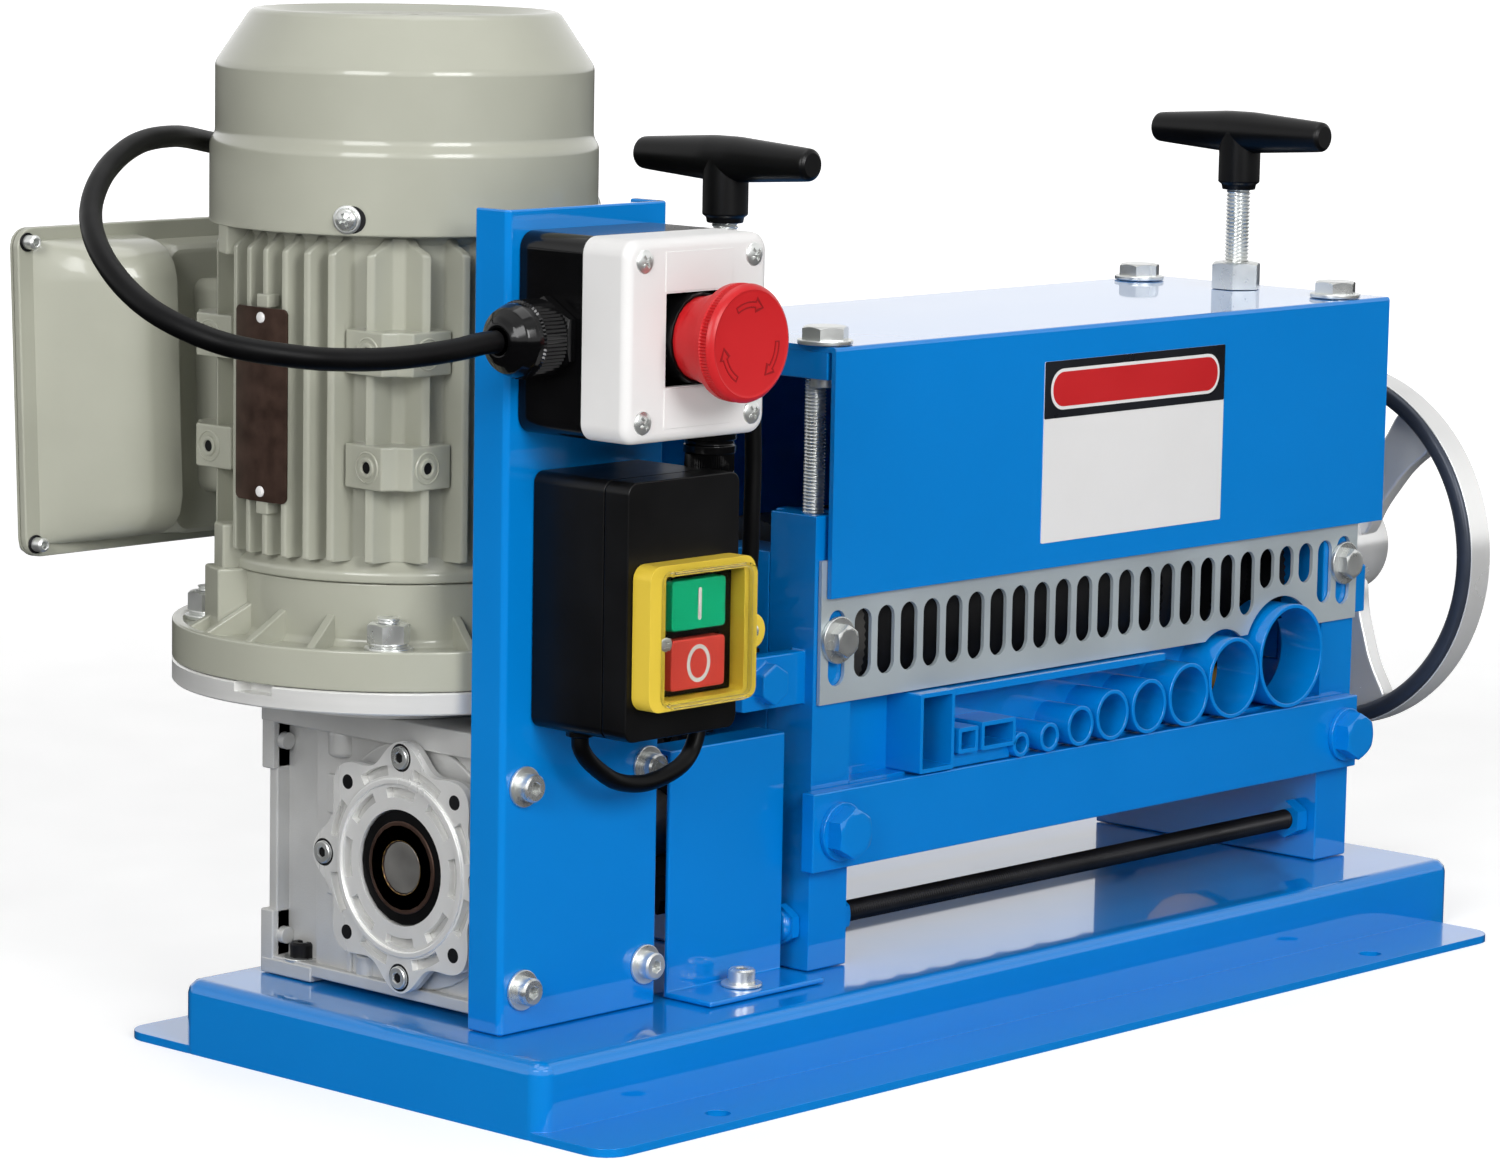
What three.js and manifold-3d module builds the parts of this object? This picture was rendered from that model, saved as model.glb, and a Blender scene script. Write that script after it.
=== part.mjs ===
// Bench cable stripping machine with a worm gear motor, a knurled pressing roller
// with a hand wheel, circular blades, a control panel and two T-handle adjusters.
// Lengths are millimetres. +X runs along the base away from the motor, +Y to the
// back of the machine and +Z up. Inside the machine group X = 0 is the left end of
// the base, Y = 0 its front wall and Z = 0 its top face.
import * as THREE from 'three';
import { mergeVertices } from 'three/addons/utils/BufferGeometryUtils.js';
import Module from 'manifold-3d';

const wasm = await Module();
wasm.setup();

// Shared clearances and facet counts
const gap = 0.3;
const cutOver = 2;
const joinOver = 0.5;
const weldTolerance = 1e-4;
const smallSides = 12;
const midSides = 20;
const largeSides = 32;
const ventSides = 6;
const arcSteps = 2;

// Base tray: folded sheet, closed ends, two long foot flanges
const base = {
  length: 518, width: 180, height: 26.5, sheet: 3, corner: 7, bend: 5,
  footLength: 505, footWidth: 31, footCorner: 10, holeRadius: 4.5,
  leftHole: 65, rightHole: 436, holeInset: 20,
};

// Stripping head: two side frames on the base, shafts one above the other
const head = { shaftY: 91, lowerZ: 50, gearCentres: 65 };
const upperZ = head.lowerZ + head.gearCentres;
const frame = {
  leftX: 170, rightX: 472.2, thickness: 20.4, halfDepth: 56.1, windowHalf: 34.3,
  top: 165, windowBottom: 79.5, bearingBore: 24.3, ribWidth: 7, ribDepth: 4,
  studInset: 6.6, studDepth: 30,
};
const frameFront = head.shaftY - frame.halfDepth;
const frameBack = head.shaftY + frame.halfDepth;
const uprightY = frame.halfDepth - (frame.halfDepth - frame.windowHalf) / 2;
const ear = {
  leftReach: 32.3, rightReach: 13.5, front: 39, thickness: 6, low: 97.5, high: 116.5, boltInset: 11.5,
};
const boltSmall = { shank: 4, flats: 13, headHeight: 5.5 };
const boltLarge = { shank: 5, flats: 17, headHeight: 6.4, washerRadius: 10, washer: 2 };

const cover = {
  left: 174.2, right: 504.6, sheet: 2, halfDepth: 60.2, bottom: 135.4, top: 225,
  bend: 4, yokeHeight: 10, yokeSideGap: 2, leg: 6.2,
};
const guard = {
  left: 171.7, right: 491.6, low: 97.1, high: 149, thickness: 1.5, slotLow: 105, slotHigh: 130,
  slotWidth: 7.6, firstSlot: 194.3, pitch: 12.54, slotCount: 23, shortFrom: 19, shortTo: 21,
  shortLow: 114.3, boltSlotWidth: 8.8, boltSlotLow: 102.5, boltSlotHigh: 132, arcClear: 2.6,
  arcCount: 2,
};
const rail = {
  left: 164.8, right: 489.3, low: 37.7, high: 66.4, thickness: 6, boltZ: 51.5, boltReach: 20,
  washerRadius: 10.6, washer: 2, flats: 16.4, headHeight: 6.5, boltShift: 1.5,
};
const tieRod = { radius: 4, z: 16.5, nutFlats: 13, nut: 6.5, outerNut: 4, domeRadius: 5.4, dome: 2.6 };

// Guide tubes: centre in X and outer diameter, standing on the rail height
const tubes = {
  front: 27, back: 46.5, wall: 1.6, floorGap: 0.4, sides: 16,
  round: [
    { x: 277.5, diameter: 9.3 }, { x: 294, diameter: 11 }, { x: 312.2, diameter: 15.3 },
    { x: 331.2, diameter: 19.3 }, { x: 353.3, diameter: 21 }, { x: 377.6, diameter: 24.5 },
    { x: 405.8, diameter: 31.5 }, { x: 442.4, diameter: 41 },
  ],
  square: [
    { left: 220, width: 19, low: 67.2, height: 29.4 }, { left: 241.6, width: 11, low: 72, height: 9.6 },
    { left: 254.6, width: 19.4, low: 71.8, height: 10.6 },
  ],
  plate: 3, plateLow: 60, plateHigh: 100, shelf: 3, sill: 4.2, sillLeft: 241, sillRight: 274,
  stripLeft: 238, stripRight: 364, stripLow: 93.8, strip: 2.6, stripFront: 28.5,
};

// Shafts, rollers, blades and gears
const shaft = { radius: 12.5, outputRadius: 9, wheelSeat: 9, run: gap };
const roller = {
  left: 196, right: 466, radius: 42, shaftLeft: 146.5, landInset: 2.5,
  grooves: [
    { tube: 5, width: 20, radius: 38 }, { tube: 6, width: 27, radius: 34 },
    { tube: 7, width: 35, radius: 28 },
  ],
};
const blades = { radius: 22, thickness: 2, hub: 16.5 };
const cutter = { shaftEnd: 495, step: 112, left: 22.8 };
const gear = {
  left: 150, width: 15, teeth: 26, tip: 34.7, root: 29.2, tipHalf: 0.62, rootHalf: 2.15, hub: 20,
  hubLeft: 147,
};
const lowerBearing = { outer: 24, flange: 29, flangeWidth: 3.6 };
const block = { halfHeight: 35, seat: 0.5, slotNeck: 5.5, slotHead: 8.4, neckDepth: 4, headDepth: 5.6 };
const carriageLift = 4;

const wheel = {
  left: 544.1, width: 16.8, outer: 75.5, inner: 68, hub: 20, hubLeft: 540, hubRight: 566,
  spokeLeft: 548, spokeWidth: 8, spokeRoot: 26, spokeTip: 19, firstSpoke: 10, spokes: 3,
};
const crank = { radius: 60, pin: 5, headRadius: 8, head: 4, grip: 54, gripRadius: 12, waist: 10 };

const screw = { radius: 5, collar: 8, collarHeight: 5, coverReach: 56 };
const handle = {
  barZ: 288, hubHeight: 23, hubRadius: 8.3, hubFoot: 6.6, halfLength: 42, centre: 8.25, end: 5.8, edge: 1.4,
  socket: 18,
};
const handleLow = handle.barZ - handle.hubHeight;

// Gear motor
const motor = { x: 59.3, y: 131 };
const gearbox = {
  width: 64, front: 41.3, back: 168.5, height: 100, corner: 5, wheelBore: 33.5, wormBore: 13.5,
  wormFloor: 8, leftFace: 21.8, rightFace: 96.8, rightBoss: 36, wall: 6, pocket: 8,
  pocketFront: 143.5, pocketBack: 162, pocketLow: 10, pocketHigh: 91, footHeight: 10, waist: 4,
};
const outputCover = {
  thickness: 5.2, lobeMean: 40.4, lobeSwing: 3.6, lobes: 8, spigot: 33.2, spigotDepth: 4, bore: 20.3,
  pocketDepth: 2.6, innerLow: 24.5, innerHigh: 28, outerLow: 32, outerHigh: 35.6, lobePoints: 5,
  pocketShare: 0.62,
};
const seal = { inset: 1, depth: 6 };
const wormWheel = { hub: 15, tip: 29.2, root: 26.8, width: 20, teeth: 30, inset: 0.6 };
const worm = {
  core: 8.3, thread: 10.4, low: 10, high: 96, threadLow: 32, threadHigh: 68, pitch: 9,
  ridgeShares: [0.3, 0.5, 0.8],
};
const flange = {
  radius: 80, adapterLow: 107.3, adapter: 7.7, hub: 45, bore: 30, slotWidth: 15, slotHeight: 3.4,
  slotDepth: 6, slotAngle: -173,
};
const shield = {
  thickness: 13.7, barrel: 60, top: 149.3, wall: 6, floor: 5,
  ribThickness: 3, ribTop: 138, ribOuter: 77,
};
const boltPhase = -137;
const ribOffsets = [22, -20, -39, -57];
const stator = {
  low: 149.6, top: 272, topRing: 10, ring: 61.8, ringHeight: 3, coneHeight: 5.5, root: 57, tip: 65, bore: 53,
  endPlate: 5, barrel: 56, collar: 58, fin: 2.4, finRoot: 3.2, cornerFin: 38.6, cornerRoot: 58.4,
  finLow: 156.8, coreLow: 160, coreHigh: 246, padFace: 54.4, padNear: 29, padFar: 47, padNotch: 49,
  padHeight: 15, lug: 8, lugHeight: 8, lugTip: 64.4,
};
const finOffsets = [-26.7, -18, -9, 0, 9, 18, 26.7];
const padLevels = [189.9, 228.6];
const rotor = { radius: 32, airGap: 1.5, shaft: 7, low: 166, high: 240, shaftLow: 20, shaftHigh: 318 };
const stack = { coilInner: 37, coilOuter: 50, coil: 8 };
const fan = {
  low: 288, disc: 3, radius: 52, hub: 12, hubHeight: 22, blade: 2.4, bladeHeight: 14, blades: 7,
};
const fanCover = {
  low: 266, top: 343, skirtHeight: 31, skirt: 67.5, drum: 65.6, shoulder: 20, lid: 53, lidEdge: 2,
  wall: 2, ventRings: [22, 40], vents: 8, ventRadius: 4,
};

// Terminal box behind the motor
const terminal = {
  left: -33, right: 107, low: 148, high: 263.5, flangeY: 228, flange: 3, corner: 7, wall: 2.5,
  bulgeLeft: -25, bulgeRight: 28, bulgeFront: 202, shallowFront: 215, shallowRight: 100, sideInset: 5,
  shallowHigh: 250, neckLeft: 36, neckRight: 84, neckLow: 172, neckHigh: 238, lid: 4.2, entry: 8,
  entryHeight: 8, entryX: 80, entryInset: 6,
};
const capacitor = { radius: 12.9, low: 166, high: 248 };

// Control panel
const bracket = { left: 18.3, width: 76.7, front: 38, sheet: 3, flange: 15.6, height: 279.7, bend: 3 };
const coupler = {
  left: 102.5, right: 161.5, front: 40, sheet: 2, height: 88, hood: 14, footReach: 21, bend: 3,
};
const estop = {
  x: 57.5, z: 239, width: 68, height: 67.5, corner: 6, wall: 2.5, base: 29, cover: 20.4,
  window: 31, collar: 15.2, collarBore: 14.3, collarReach: 2, floor: 4, wellDepth: 23,
  block: 26, blockDepth: 18, stem: 14, headRadius: 20.3, headFront: -36, headHeight: 9, stemLength: 31,
  plunger: 5, plungerFront: 6, plungerLength: 50,
};
const glandSize = {
  radius: 12.8, z: 238.5, y: 23, lock: 4.2, nut: 11, dome: 9, tip: 5.5, ribs: 20, flats: 24,
  shoulder: 10.7,
};
const sideGland = { radius: 5, length: 4.5, y: 23, z: 238.3 };
const underGland = { radius: 5, length: 1.8, x: 39, y: 22 };
const panelSwitch = {
  x: 58.1, z: 148.5, width: 53.8, height: 87, corner: 4, wall: 2.2, base: 33, cover: 11,
  moduleX: 60, moduleZ: 140, moduleWidth: 37.4, moduleHeight: 41.4, moduleFront: -9, pocketBack: 7,
  frameX: 59, frameZ: 140.3, frameWidth: 51, frameHeight: 49, frameDepth: 8.1, frameCorner: 5,
  earX: 86.5, earZ: 138.4, earRadius: 6, tabWidth: 9, tabHeight: 10, windowWidth: 43, windowHeight: 46,
  windowWall: 1.2, windowDepth: 3.6,
};
const button = { width: 26, height: 17, front: -12, back: 2, pitch: 20, travel: 3, corner: 1.5 };

// Leads: outer diameters and routes of the two free cables
const motorLead = {
  radius: 3.8, sides: 8, steps: 30,
  route: [
    [-1.4, 23, 238.5], [-7, 23, 238.4], [-20, 23.5, 236.9], [-44.9, 25, 235.7], [-62, 28.5, 236],
    [-77.7, 33, 237.4],
    [-98, 46, 241.6], [-106.7, 64, 248.3], [-105.9, 84, 256], [-100.8, 104, 266.6], [-88.3, 124, 277.3],
    [-66.9, 143, 288.4], [-37.5, 161, 296.4], [-6.4, 177, 297.4], [32, 199, 292.6], [52, 208.6, 290.5],
    [67, 215.5, 284], [76, 219.3, 274], [79.6, 221, 266], [80, 221, 262], [80, 221, 258.4],
  ],
};
const switchLead = {
  radius: 3, sides: 8, steps: 34,
  route: [
    [96.4, 23, 238.3], [99.5, 23, 238.3], [105.5, 23, 236.9], [112, 23, 232.5], [118, 22.7, 225],
    [121, 22.4, 215],
    [122, 22.2, 204], [122.5, 22, 190], [122.2, 22, 172], [122.6, 22.6, 160], [122.3, 23.3, 149],
    [119.5, 23.8, 138],
    [113.5, 24.2, 128.5], [106, 24.3, 119], [100.5, 24.2, 108], [98.8, 24, 98], [95, 23.5, 91], [88, 22, 87],
    [78, 22, 84], [68.4, 22, 83.3], [57, 22, 85.5], [48.8, 22, 90], [42, 22, 95.5],
    [39.3, 22, 99.6], [39, 22, 101.5], [39, 22, 102.8],
  ],
};

// Finishes
const finish = {
  blue: [0x0078cf, 0.38, 0.05], zinc: [0xc9ccc8, 0.3, 0.9], steel: [0x8f9396, 0.32, 0.95],
  darkSteel: [0x2c2e30, 0.45, 0.8], casting: [0xb4b5b2, 0.5, 0.75], motorGrey: [0x9a9c90, 0.45, 0.15],
  black: [0x17181a, 0.42, 0], rubber: [0x121212, 0.7, 0], white: [0xe6e4e2, 0.45, 0],
  red: [0xcf1f26, 0.4, 0], green: [0x16a35c, 0.35, 0], yellow: [0xf2cf2e, 0.4, 0],
  clear: [0xd8dcd6, 0.1, 0], copper: [0xa9663c, 0.5, 0.6],
  chrome: [0xd4d4d2, 0.12, 1], bronze: [0xb08d4c, 0.4, 0.8],
};

// Solid modelling helpers

function solidOf(geometry) {
  const bare = geometry.clone();
  bare.deleteAttribute('normal');
  bare.deleteAttribute('uv');
  const welded = mergeVertices(bare, weldTolerance);
  const source = welded.index.array;
  const kept = [];
  for (let i = 0; i < source.length; i += 3) {
    const [a, b, c] = [source[i], source[i + 1], source[i + 2]];
    if (a !== b && b !== c && c !== a) {
      kept.push(a, b, c);
    }
  }
  const vertProperties = Float32Array.from(welded.attributes.position.array);
  const wound = (corners) => {
    const triVerts = Uint32Array.from(corners);
    return new wasm.Manifold(new wasm.Mesh({ numProp: 3, vertProperties, triVerts }));
  };
  const solid = wound(kept);
  return solid.volume() > 0 ? solid : wound(kept.reverse());
}

function join(...solids) {
  return solids.flat().reduce((sum, solid) => sum.add(solid));
}

function cut(solid, ...tools) {
  return tools.flat().reduce((rest, tool) => rest.subtract(tool), solid);
}

function box(x0, x1, y0, y1, z0, z1) {
  const geometry = new THREE.BoxGeometry(x1 - x0, y1 - y0, z1 - z0);
  geometry.translate((x0 + x1) / 2, (y0 + y1) / 2, (z0 + z1) / 2);
  return solidOf(geometry);
}

// Turns a shape's own axes so that its extrusion or lathe axis runs along X, Y or Z
const turns = {
  x: new THREE.Matrix4().makeBasis(
    new THREE.Vector3(0, 1, 0), new THREE.Vector3(0, 0, 1), new THREE.Vector3(1, 0, 0)),
  y: new THREE.Matrix4().makeBasis(
    new THREE.Vector3(1, 0, 0), new THREE.Vector3(0, 0, 1), new THREE.Vector3(0, -1, 0)),
  z: new THREE.Matrix4(),
};

// Extrudes a shape drawn in the two axes across the given one, between two levels.
// Across X a shape is drawn in Y and Z, across Y in X and Z and across Z in X and Y.
function extrude(axis, shape, from, to, curveSegments = 3) {
  const depth = to - from;
  const geometry = new THREE.ExtrudeGeometry(shape, { depth, bevelEnabled: false, curveSegments });
  const lift = axis === 'y' ? -to : from;
  geometry.translate(0, 0, lift);
  geometry.applyMatrix4(turns[axis]);
  return solidOf(geometry);
}

// Round solid about an axis from pairs of radius and level along it
function turned(axis, profile, at = [0, 0], sides = midSides) {
  const points = profile.map(([radius, level]) => new THREE.Vector2(radius, level));
  const geometry = new THREE.LatheGeometry(points, sides);
  geometry.rotateX(Math.PI / 2);
  if (axis === 'x') {
    geometry.applyMatrix4(turns.x);
    geometry.translate(0, at[0], at[1]);
  } else if (axis === 'y') {
    geometry.rotateX(-Math.PI / 2);
    geometry.translate(at[0], 0, at[1]);
  } else {
    geometry.translate(at[0], at[1], 0);
  }
  return solidOf(geometry);
}

function rod(axis, radius, from, to, at = [0, 0], sides = midSides) {
  return turned(axis, [[0, from], [radius, from], [radius, to], [0, to]], at, sides);
}

function tube(axis, outer, inner, from, to, at = [0, 0], sides = midSides) {
  const profile = [[inner, from], [outer, from], [outer, to], [inner, to], [inner, from]];
  return turned(axis, profile, at, sides);
}

// Regular prism, such as a hexagon head, with the given distance across its flats
function prism(axis, flats, from, to, at = [0, 0], count = 6) {
  const radius = flats / 2 / Math.cos(Math.PI / count);
  const shape = new THREE.Shape();
  for (let i = 0; i < count; i += 1) {
    const angle = (i + 0.5) * (2 * Math.PI / count);
    const point = [at[0] + radius * Math.cos(angle), at[1] + radius * Math.sin(angle)];
    if (i === 0) {
      shape.moveTo(...point);
    } else {
      shape.lineTo(...point);
    }
  }
  return extrude(axis, shape, from, to);
}

function roundedShape(x0, x1, y0, y1, radius) {
  const shape = new THREE.Shape();
  shape.moveTo(x0 + radius, y0);
  shape.absarc(x1 - radius, y0 + radius, radius, -Math.PI / 2, 0, false);
  shape.absarc(x1 - radius, y1 - radius, radius, 0, Math.PI / 2, false);
  shape.absarc(x0 + radius, y1 - radius, radius, Math.PI / 2, Math.PI, false);
  shape.absarc(x0 + radius, y0 + radius, radius, Math.PI, 1.5 * Math.PI, false);
  return shape;
}

function roundedBox(axis, a0, a1, b0, b1, from, to, radius) {
  return extrude(axis, roundedShape(a0, a1, b0, b1, radius), from, to);
}

function slotShape(x, low, high, width) {
  const radius = width / 2;
  const shape = new THREE.Shape();
  shape.moveTo(x + radius, low + radius);
  shape.absarc(x, high - radius, radius, 0, Math.PI, false);
  shape.absarc(x, low + radius, radius, Math.PI, 2 * Math.PI, false);
  return shape;
}

function polygon(points) {
  return new THREE.Shape(points.map(([a, b]) => new THREE.Vector2(a, b)));
}

const radians = THREE.MathUtils.degToRad;

function polar(radius, degrees) {
  return [radius * Math.cos(radians(degrees)), radius * Math.sin(radians(degrees))];
}

function toothed(axis, count, tip, root, tipHalf, rootHalf, from, to, phase) {
  const points = [];
  for (let i = 0; i < count; i += 1) {
    const middle = phase + i * (2 * Math.PI / count);
    for (const [radius, half] of [[root, -rootHalf], [tip, -tipHalf], [tip, tipHalf], [root, rootHalf]]) {
      const angle = middle + half / radius;
      points.push([radius * Math.cos(angle), radius * Math.sin(angle)]);
    }
  }
  return extrude(axis, polygon(points), from, to);
}

function mesh(name, solid, [color, roughness, metalness]) {
  const { vertProperties, triVerts } = solid.getMesh();
  const geometry = new THREE.BufferGeometry();
  geometry.setAttribute('position', new THREE.BufferAttribute(new Float32Array(vertProperties), 3));
  geometry.setIndex(new THREE.BufferAttribute(new Uint32Array(triVerts), 1));
  geometry.computeVertexNormals();
  const material = new THREE.MeshStandardMaterial({ color, roughness, metalness });
  const part = new THREE.Mesh(geometry, material);
  part.name = name;
  return part;
}

function group(position, ...parts) {
  const made = new THREE.Group();
  made.position.set(...position);
  made.add(...parts.flat());
  return made;
}

// Base tray with the sheet's rounded bends, open underneath
function baseTray() {
  const inset = base.bend;
  const outline = roundedShape(inset, base.length - inset, inset, base.width - inset, base.corner - inset);
  const geometry = new THREE.ExtrudeGeometry(outline, {
    depth: base.height, bevelThickness: base.bend, bevelSize: base.bend, bevelSegments: 3, curveSegments: 2,
  });
  geometry.translate(0, 0, -base.height - base.bend);
  const trim = box(-cutOver, base.length + cutOver, -cutOver, base.width + cutOver,
    -base.height - base.bend * 2 - cutOver, -base.height);
  const shell = cut(solidOf(geometry), trim);
  const hollow = roundedBox('z', base.sheet, base.length - base.sheet, base.sheet, base.width - base.sheet,
    -base.height - cutOver, -base.sheet, base.corner - base.sheet);
  const footTop = base.sheet - base.height;
  const inside = base.sheet + base.footCorner;
  const feet = [[-base.footWidth, inside], [base.width - inside, base.width + base.footWidth]];
  const flanges = feet.map(([y0, y1]) => roundedBox('z', 0, base.footLength, y0, y1,
    -base.height, footTop, base.footCorner));
  const holes = [base.leftHole, base.rightHole].flatMap((x) => [
    -base.holeInset, base.width + base.holeInset,
  ].map((y) => rod('z', base.holeRadius, -base.height - cutOver, footTop + cutOver, [x, y], smallSides)));
  const tray = cut(join(shell, flanges), hollow, holes);
  return mesh('base_tray', tray, finish.blue);
}

// Side frame in its own group: X from its left face, Y and Z from the shaft column
function sideFrame(name, reach) {
  const { halfDepth, windowHalf, top, windowBottom, thickness } = frame;
  const outline = polygon([
    [-halfDepth, gap], [halfDepth, gap], [halfDepth, top], [windowHalf, top], [windowHalf, windowBottom],
    [-windowHalf, windowBottom], [-windowHalf, top], [-halfDepth, top],
  ]);
  const ribX = (thickness - frame.ribWidth) / 2;
  const ribs = [-1, 1].map((side) => box(ribX, ribX + frame.ribWidth,
    ...[side * (windowHalf - frame.ribDepth), side * (windowHalf + joinOver)].sort((a, b) => a - b),
    windowBottom - joinOver, top));
  const earY = ear.front - head.shaftY;
  const earX = reach < 0 ? [reach, joinOver] : [thickness - joinOver, thickness + reach];
  const earPlate = box(...earX, earY, earY + ear.thickness, ear.low, ear.high);
  const solids = [extrude('x', outline, 0, thickness), ...ribs, earPlate];
  if (reach < 0) {
    const boltAt = [reach + ear.boltInset, (ear.low + ear.high) / 2];
    solids.push(prism('y', boltSmall.flats, earY - boltSmall.headHeight, earY + joinOver, boltAt));
  }
  const studs = [-1, 1].map((side) => rod('z', boltLarge.shank + gap, top - frame.studDepth, top + cutOver,
    [thickness / 2, side * (halfDepth - frame.studInset)], smallSides));
  const ties = [-1, 1].map((side) => rod('x', tieRod.radius + gap, -cutOver, thickness + cutOver,
    [side * uprightY, tieRod.z], smallSides));
  const railBolt = rod('y', boltSmall.shank + gap, -halfDepth - cutOver, -halfDepth + rail.boltReach + gap,
    [thickness / 2 - rail.boltShift, rail.boltZ], smallSides);
  const bore = rod('x', frame.bearingBore, -cutOver, thickness + cutOver, [0, head.lowerZ]);
  return mesh(name, cut(join(solids), studs, ties, railBolt, bore), finish.blue);
}

// Flanged bush pressed in a frame; the flange lies on the side that faces the blades
function lowerBush(name, inward) {
  const { outer, flange: rim, flangeWidth } = lowerBearing;
  const inner = shaft.radius + shaft.run;
  const half = frame.thickness / 2;
  const face = half + gap;
  const profile = [[inner, -half], [outer, -half], [outer, face], [rim, face], [rim, face + flangeWidth],
    [inner, face + flangeWidth], [inner, -half]].map(([radius, level]) => [radius, half + inward * level]);
  return mesh(name, turned('x', profile), finish.bronze);
}

// Cover bent over the head, with a yoke bar welded under it above each side frame
function topCover() {
  const { halfDepth, sheet, bottom, top, bend } = cover;
  const outer = [[-halfDepth, bottom], [halfDepth, bottom], [halfDepth, top - bend], [halfDepth - bend, top],
    [bend - halfDepth, top], [-halfDepth, top - bend]];
  const lineY = halfDepth - sheet;
  const lineZ = top - sheet;
  const turn = bend - sheet / 2;
  const inner = [[-lineY, bottom - cutOver], [lineY, bottom - cutOver], [lineY, lineZ - turn],
    [lineY - turn, lineZ], [turn - lineY, lineZ], [-lineY, lineZ - turn]];
  const shell = cut(extrude('x', polygon(outer), cover.left, cover.right),
    extrude('x', polygon(inner), cover.left - cutOver, cover.right + cutOver));
  const centres = [frame.leftX, frame.rightX].map((x) => x + frame.thickness / 2);
  const half = frame.thickness / 2;
  const yokeY = lineY - cover.yokeSideGap;
  const yokes = centres.map((x) => box(Math.max(x - half, cover.left), x + half, -yokeY, yokeY,
    lineZ - cover.yokeHeight, lineZ + joinOver));
  const studY = frame.halfDepth - frame.studInset;
  const legs = centres.flatMap((x) => [-studY, studY].map((y) => rod('z', cover.leg, frame.top + gap,
    lineZ - cover.yokeHeight + joinOver, [x, y], smallSides)));
  const holes = centres.flatMap((x) => [-studY, 0, studY].map((y) => rod('z', boltLarge.shank + gap,
    frame.top - cutOver, top + cutOver, [x, y], smallSides)));
  return mesh('top_cover', cut(join(shell, yokes, legs), holes), finish.blue);
}

// Hexagon bolt with washer that clamps the cover's yoke down to a frame upright
function coverBolt(name, x, y) {
  const seat = cover.top + gap;
  const washerTop = seat + boltLarge.washer;
  const solid = join(
    prism('z', boltLarge.flats, washerTop - joinOver, washerTop + boltLarge.headHeight),
    rod('z', boltLarge.washerRadius, seat, washerTop),
    rod('z', boltLarge.shank, frame.top - frame.studDepth + gap, seat + joinOver, [0, 0], smallSides),
  );
  const part = mesh(name, solid, finish.zinc);
  part.position.set(x, y, 0);
  return part;
}

// Cross bar in front of the frames, with its two bolts
function guideRail() {
  const bar = box(rail.left, rail.right, -rail.thickness, 0, rail.low, rail.high);
  const bolts = [frame.leftX, frame.rightX].flatMap((x) => {
    const at = [x + frame.thickness / 2 - rail.boltShift, rail.boltZ];
    const washerFront = -rail.thickness - rail.washer;
    return [
      rod('y', rail.washerRadius, washerFront, joinOver - rail.thickness, at),
      prism('y', rail.flats, washerFront - rail.headHeight, washerFront + joinOver, at),
      rod('y', boltSmall.shank, -joinOver, rail.boltReach, at, smallSides),
    ];
  });
  const part = mesh('guide_rail', join(bar, bolts), finish.blue);
  part.position.y = frameFront - gap;
  return part;
}

// Threaded rod across both frames, with a nut on each side of each frame
function tie(name, y) {
  const left = frame.leftX;
  const right = frame.rightX + frame.thickness;
  const inner = [left + frame.thickness + gap, frame.rightX - gap - tieRod.nut];
  const outer = [left - gap - tieRod.outerNut, right + gap];
  const nuts = [
    ...inner.map((x) => prism('x', tieRod.nutFlats, x, x + tieRod.nut)),
    ...outer.map((x) => prism('x', tieRod.nutFlats, x, x + tieRod.outerNut)),
  ];
  const domes = [[outer[0], -1], [outer[1] + tieRod.outerNut, 1]].map(([x, side]) => turned('x', [
    [0, x - side * joinOver], [tieRod.domeRadius, x - side * joinOver], [tieRod.domeRadius, x],
    [tieRod.domeRadius / 2, x + side * tieRod.dome], [0, x + side * tieRod.dome],
  ], [0, 0], smallSides));
  const ends = [outer[0] + joinOver, outer[1] + tieRod.outerNut - joinOver];
  const bar = rod('x', tieRod.radius, ...ends, [0, 0], smallSides);
  const part = mesh(name, join(bar, nuts, domes), finish.darkSteel);
  part.position.set(0, y, tieRod.z);
  return part;
}

// Guide tubes through a plate that spans the frames
function guideTubes() {
  const floor = rail.high + tubes.floorGap;
  const left = frame.leftX + frame.thickness + gap;
  const right = frame.rightX - gap;
  const plateFront = tubes.back - tubes.plate;
  const sillTop = floor + tubes.sill;
  const stripTop = tubes.stripLow + tubes.strip;
  const solids = [
    box(left, right, plateFront, tubes.back, tubes.plateLow, tubes.plateHigh),
    box(left, right, frameFront, tubes.back, floor - tubes.shelf, floor + joinOver),
    box(tubes.sillLeft, tubes.sillRight, tubes.front + tubes.plate, tubes.back, floor, sillTop + joinOver),
    box(tubes.stripLeft, tubes.stripRight, tubes.stripFront, tubes.back, tubes.stripLow, stripTop),
  ];
  const bores = [];
  const through = [tubes.front - cutOver, tubes.back + cutOver];
  for (const { x, diameter } of tubes.round) {
    const at = [x, floor + diameter / 2];
    solids.push(rod('y', diameter / 2, tubes.front, tubes.back, at, tubes.sides));
    bores.push(rod('y', diameter / 2 - tubes.wall, ...through, at, tubes.sides));
  }
  for (const { left: x, width, low, height } of tubes.square) {
    solids.push(box(x, x + width, tubes.front, tubes.back, low, low + height));
    bores.push(box(x + tubes.wall, x + width - tubes.wall, ...through, low + tubes.wall,
      low + height - tubes.wall));
  }
  return mesh('guide_tube_bank', cut(join(solids), bores), finish.blue);
}

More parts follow.
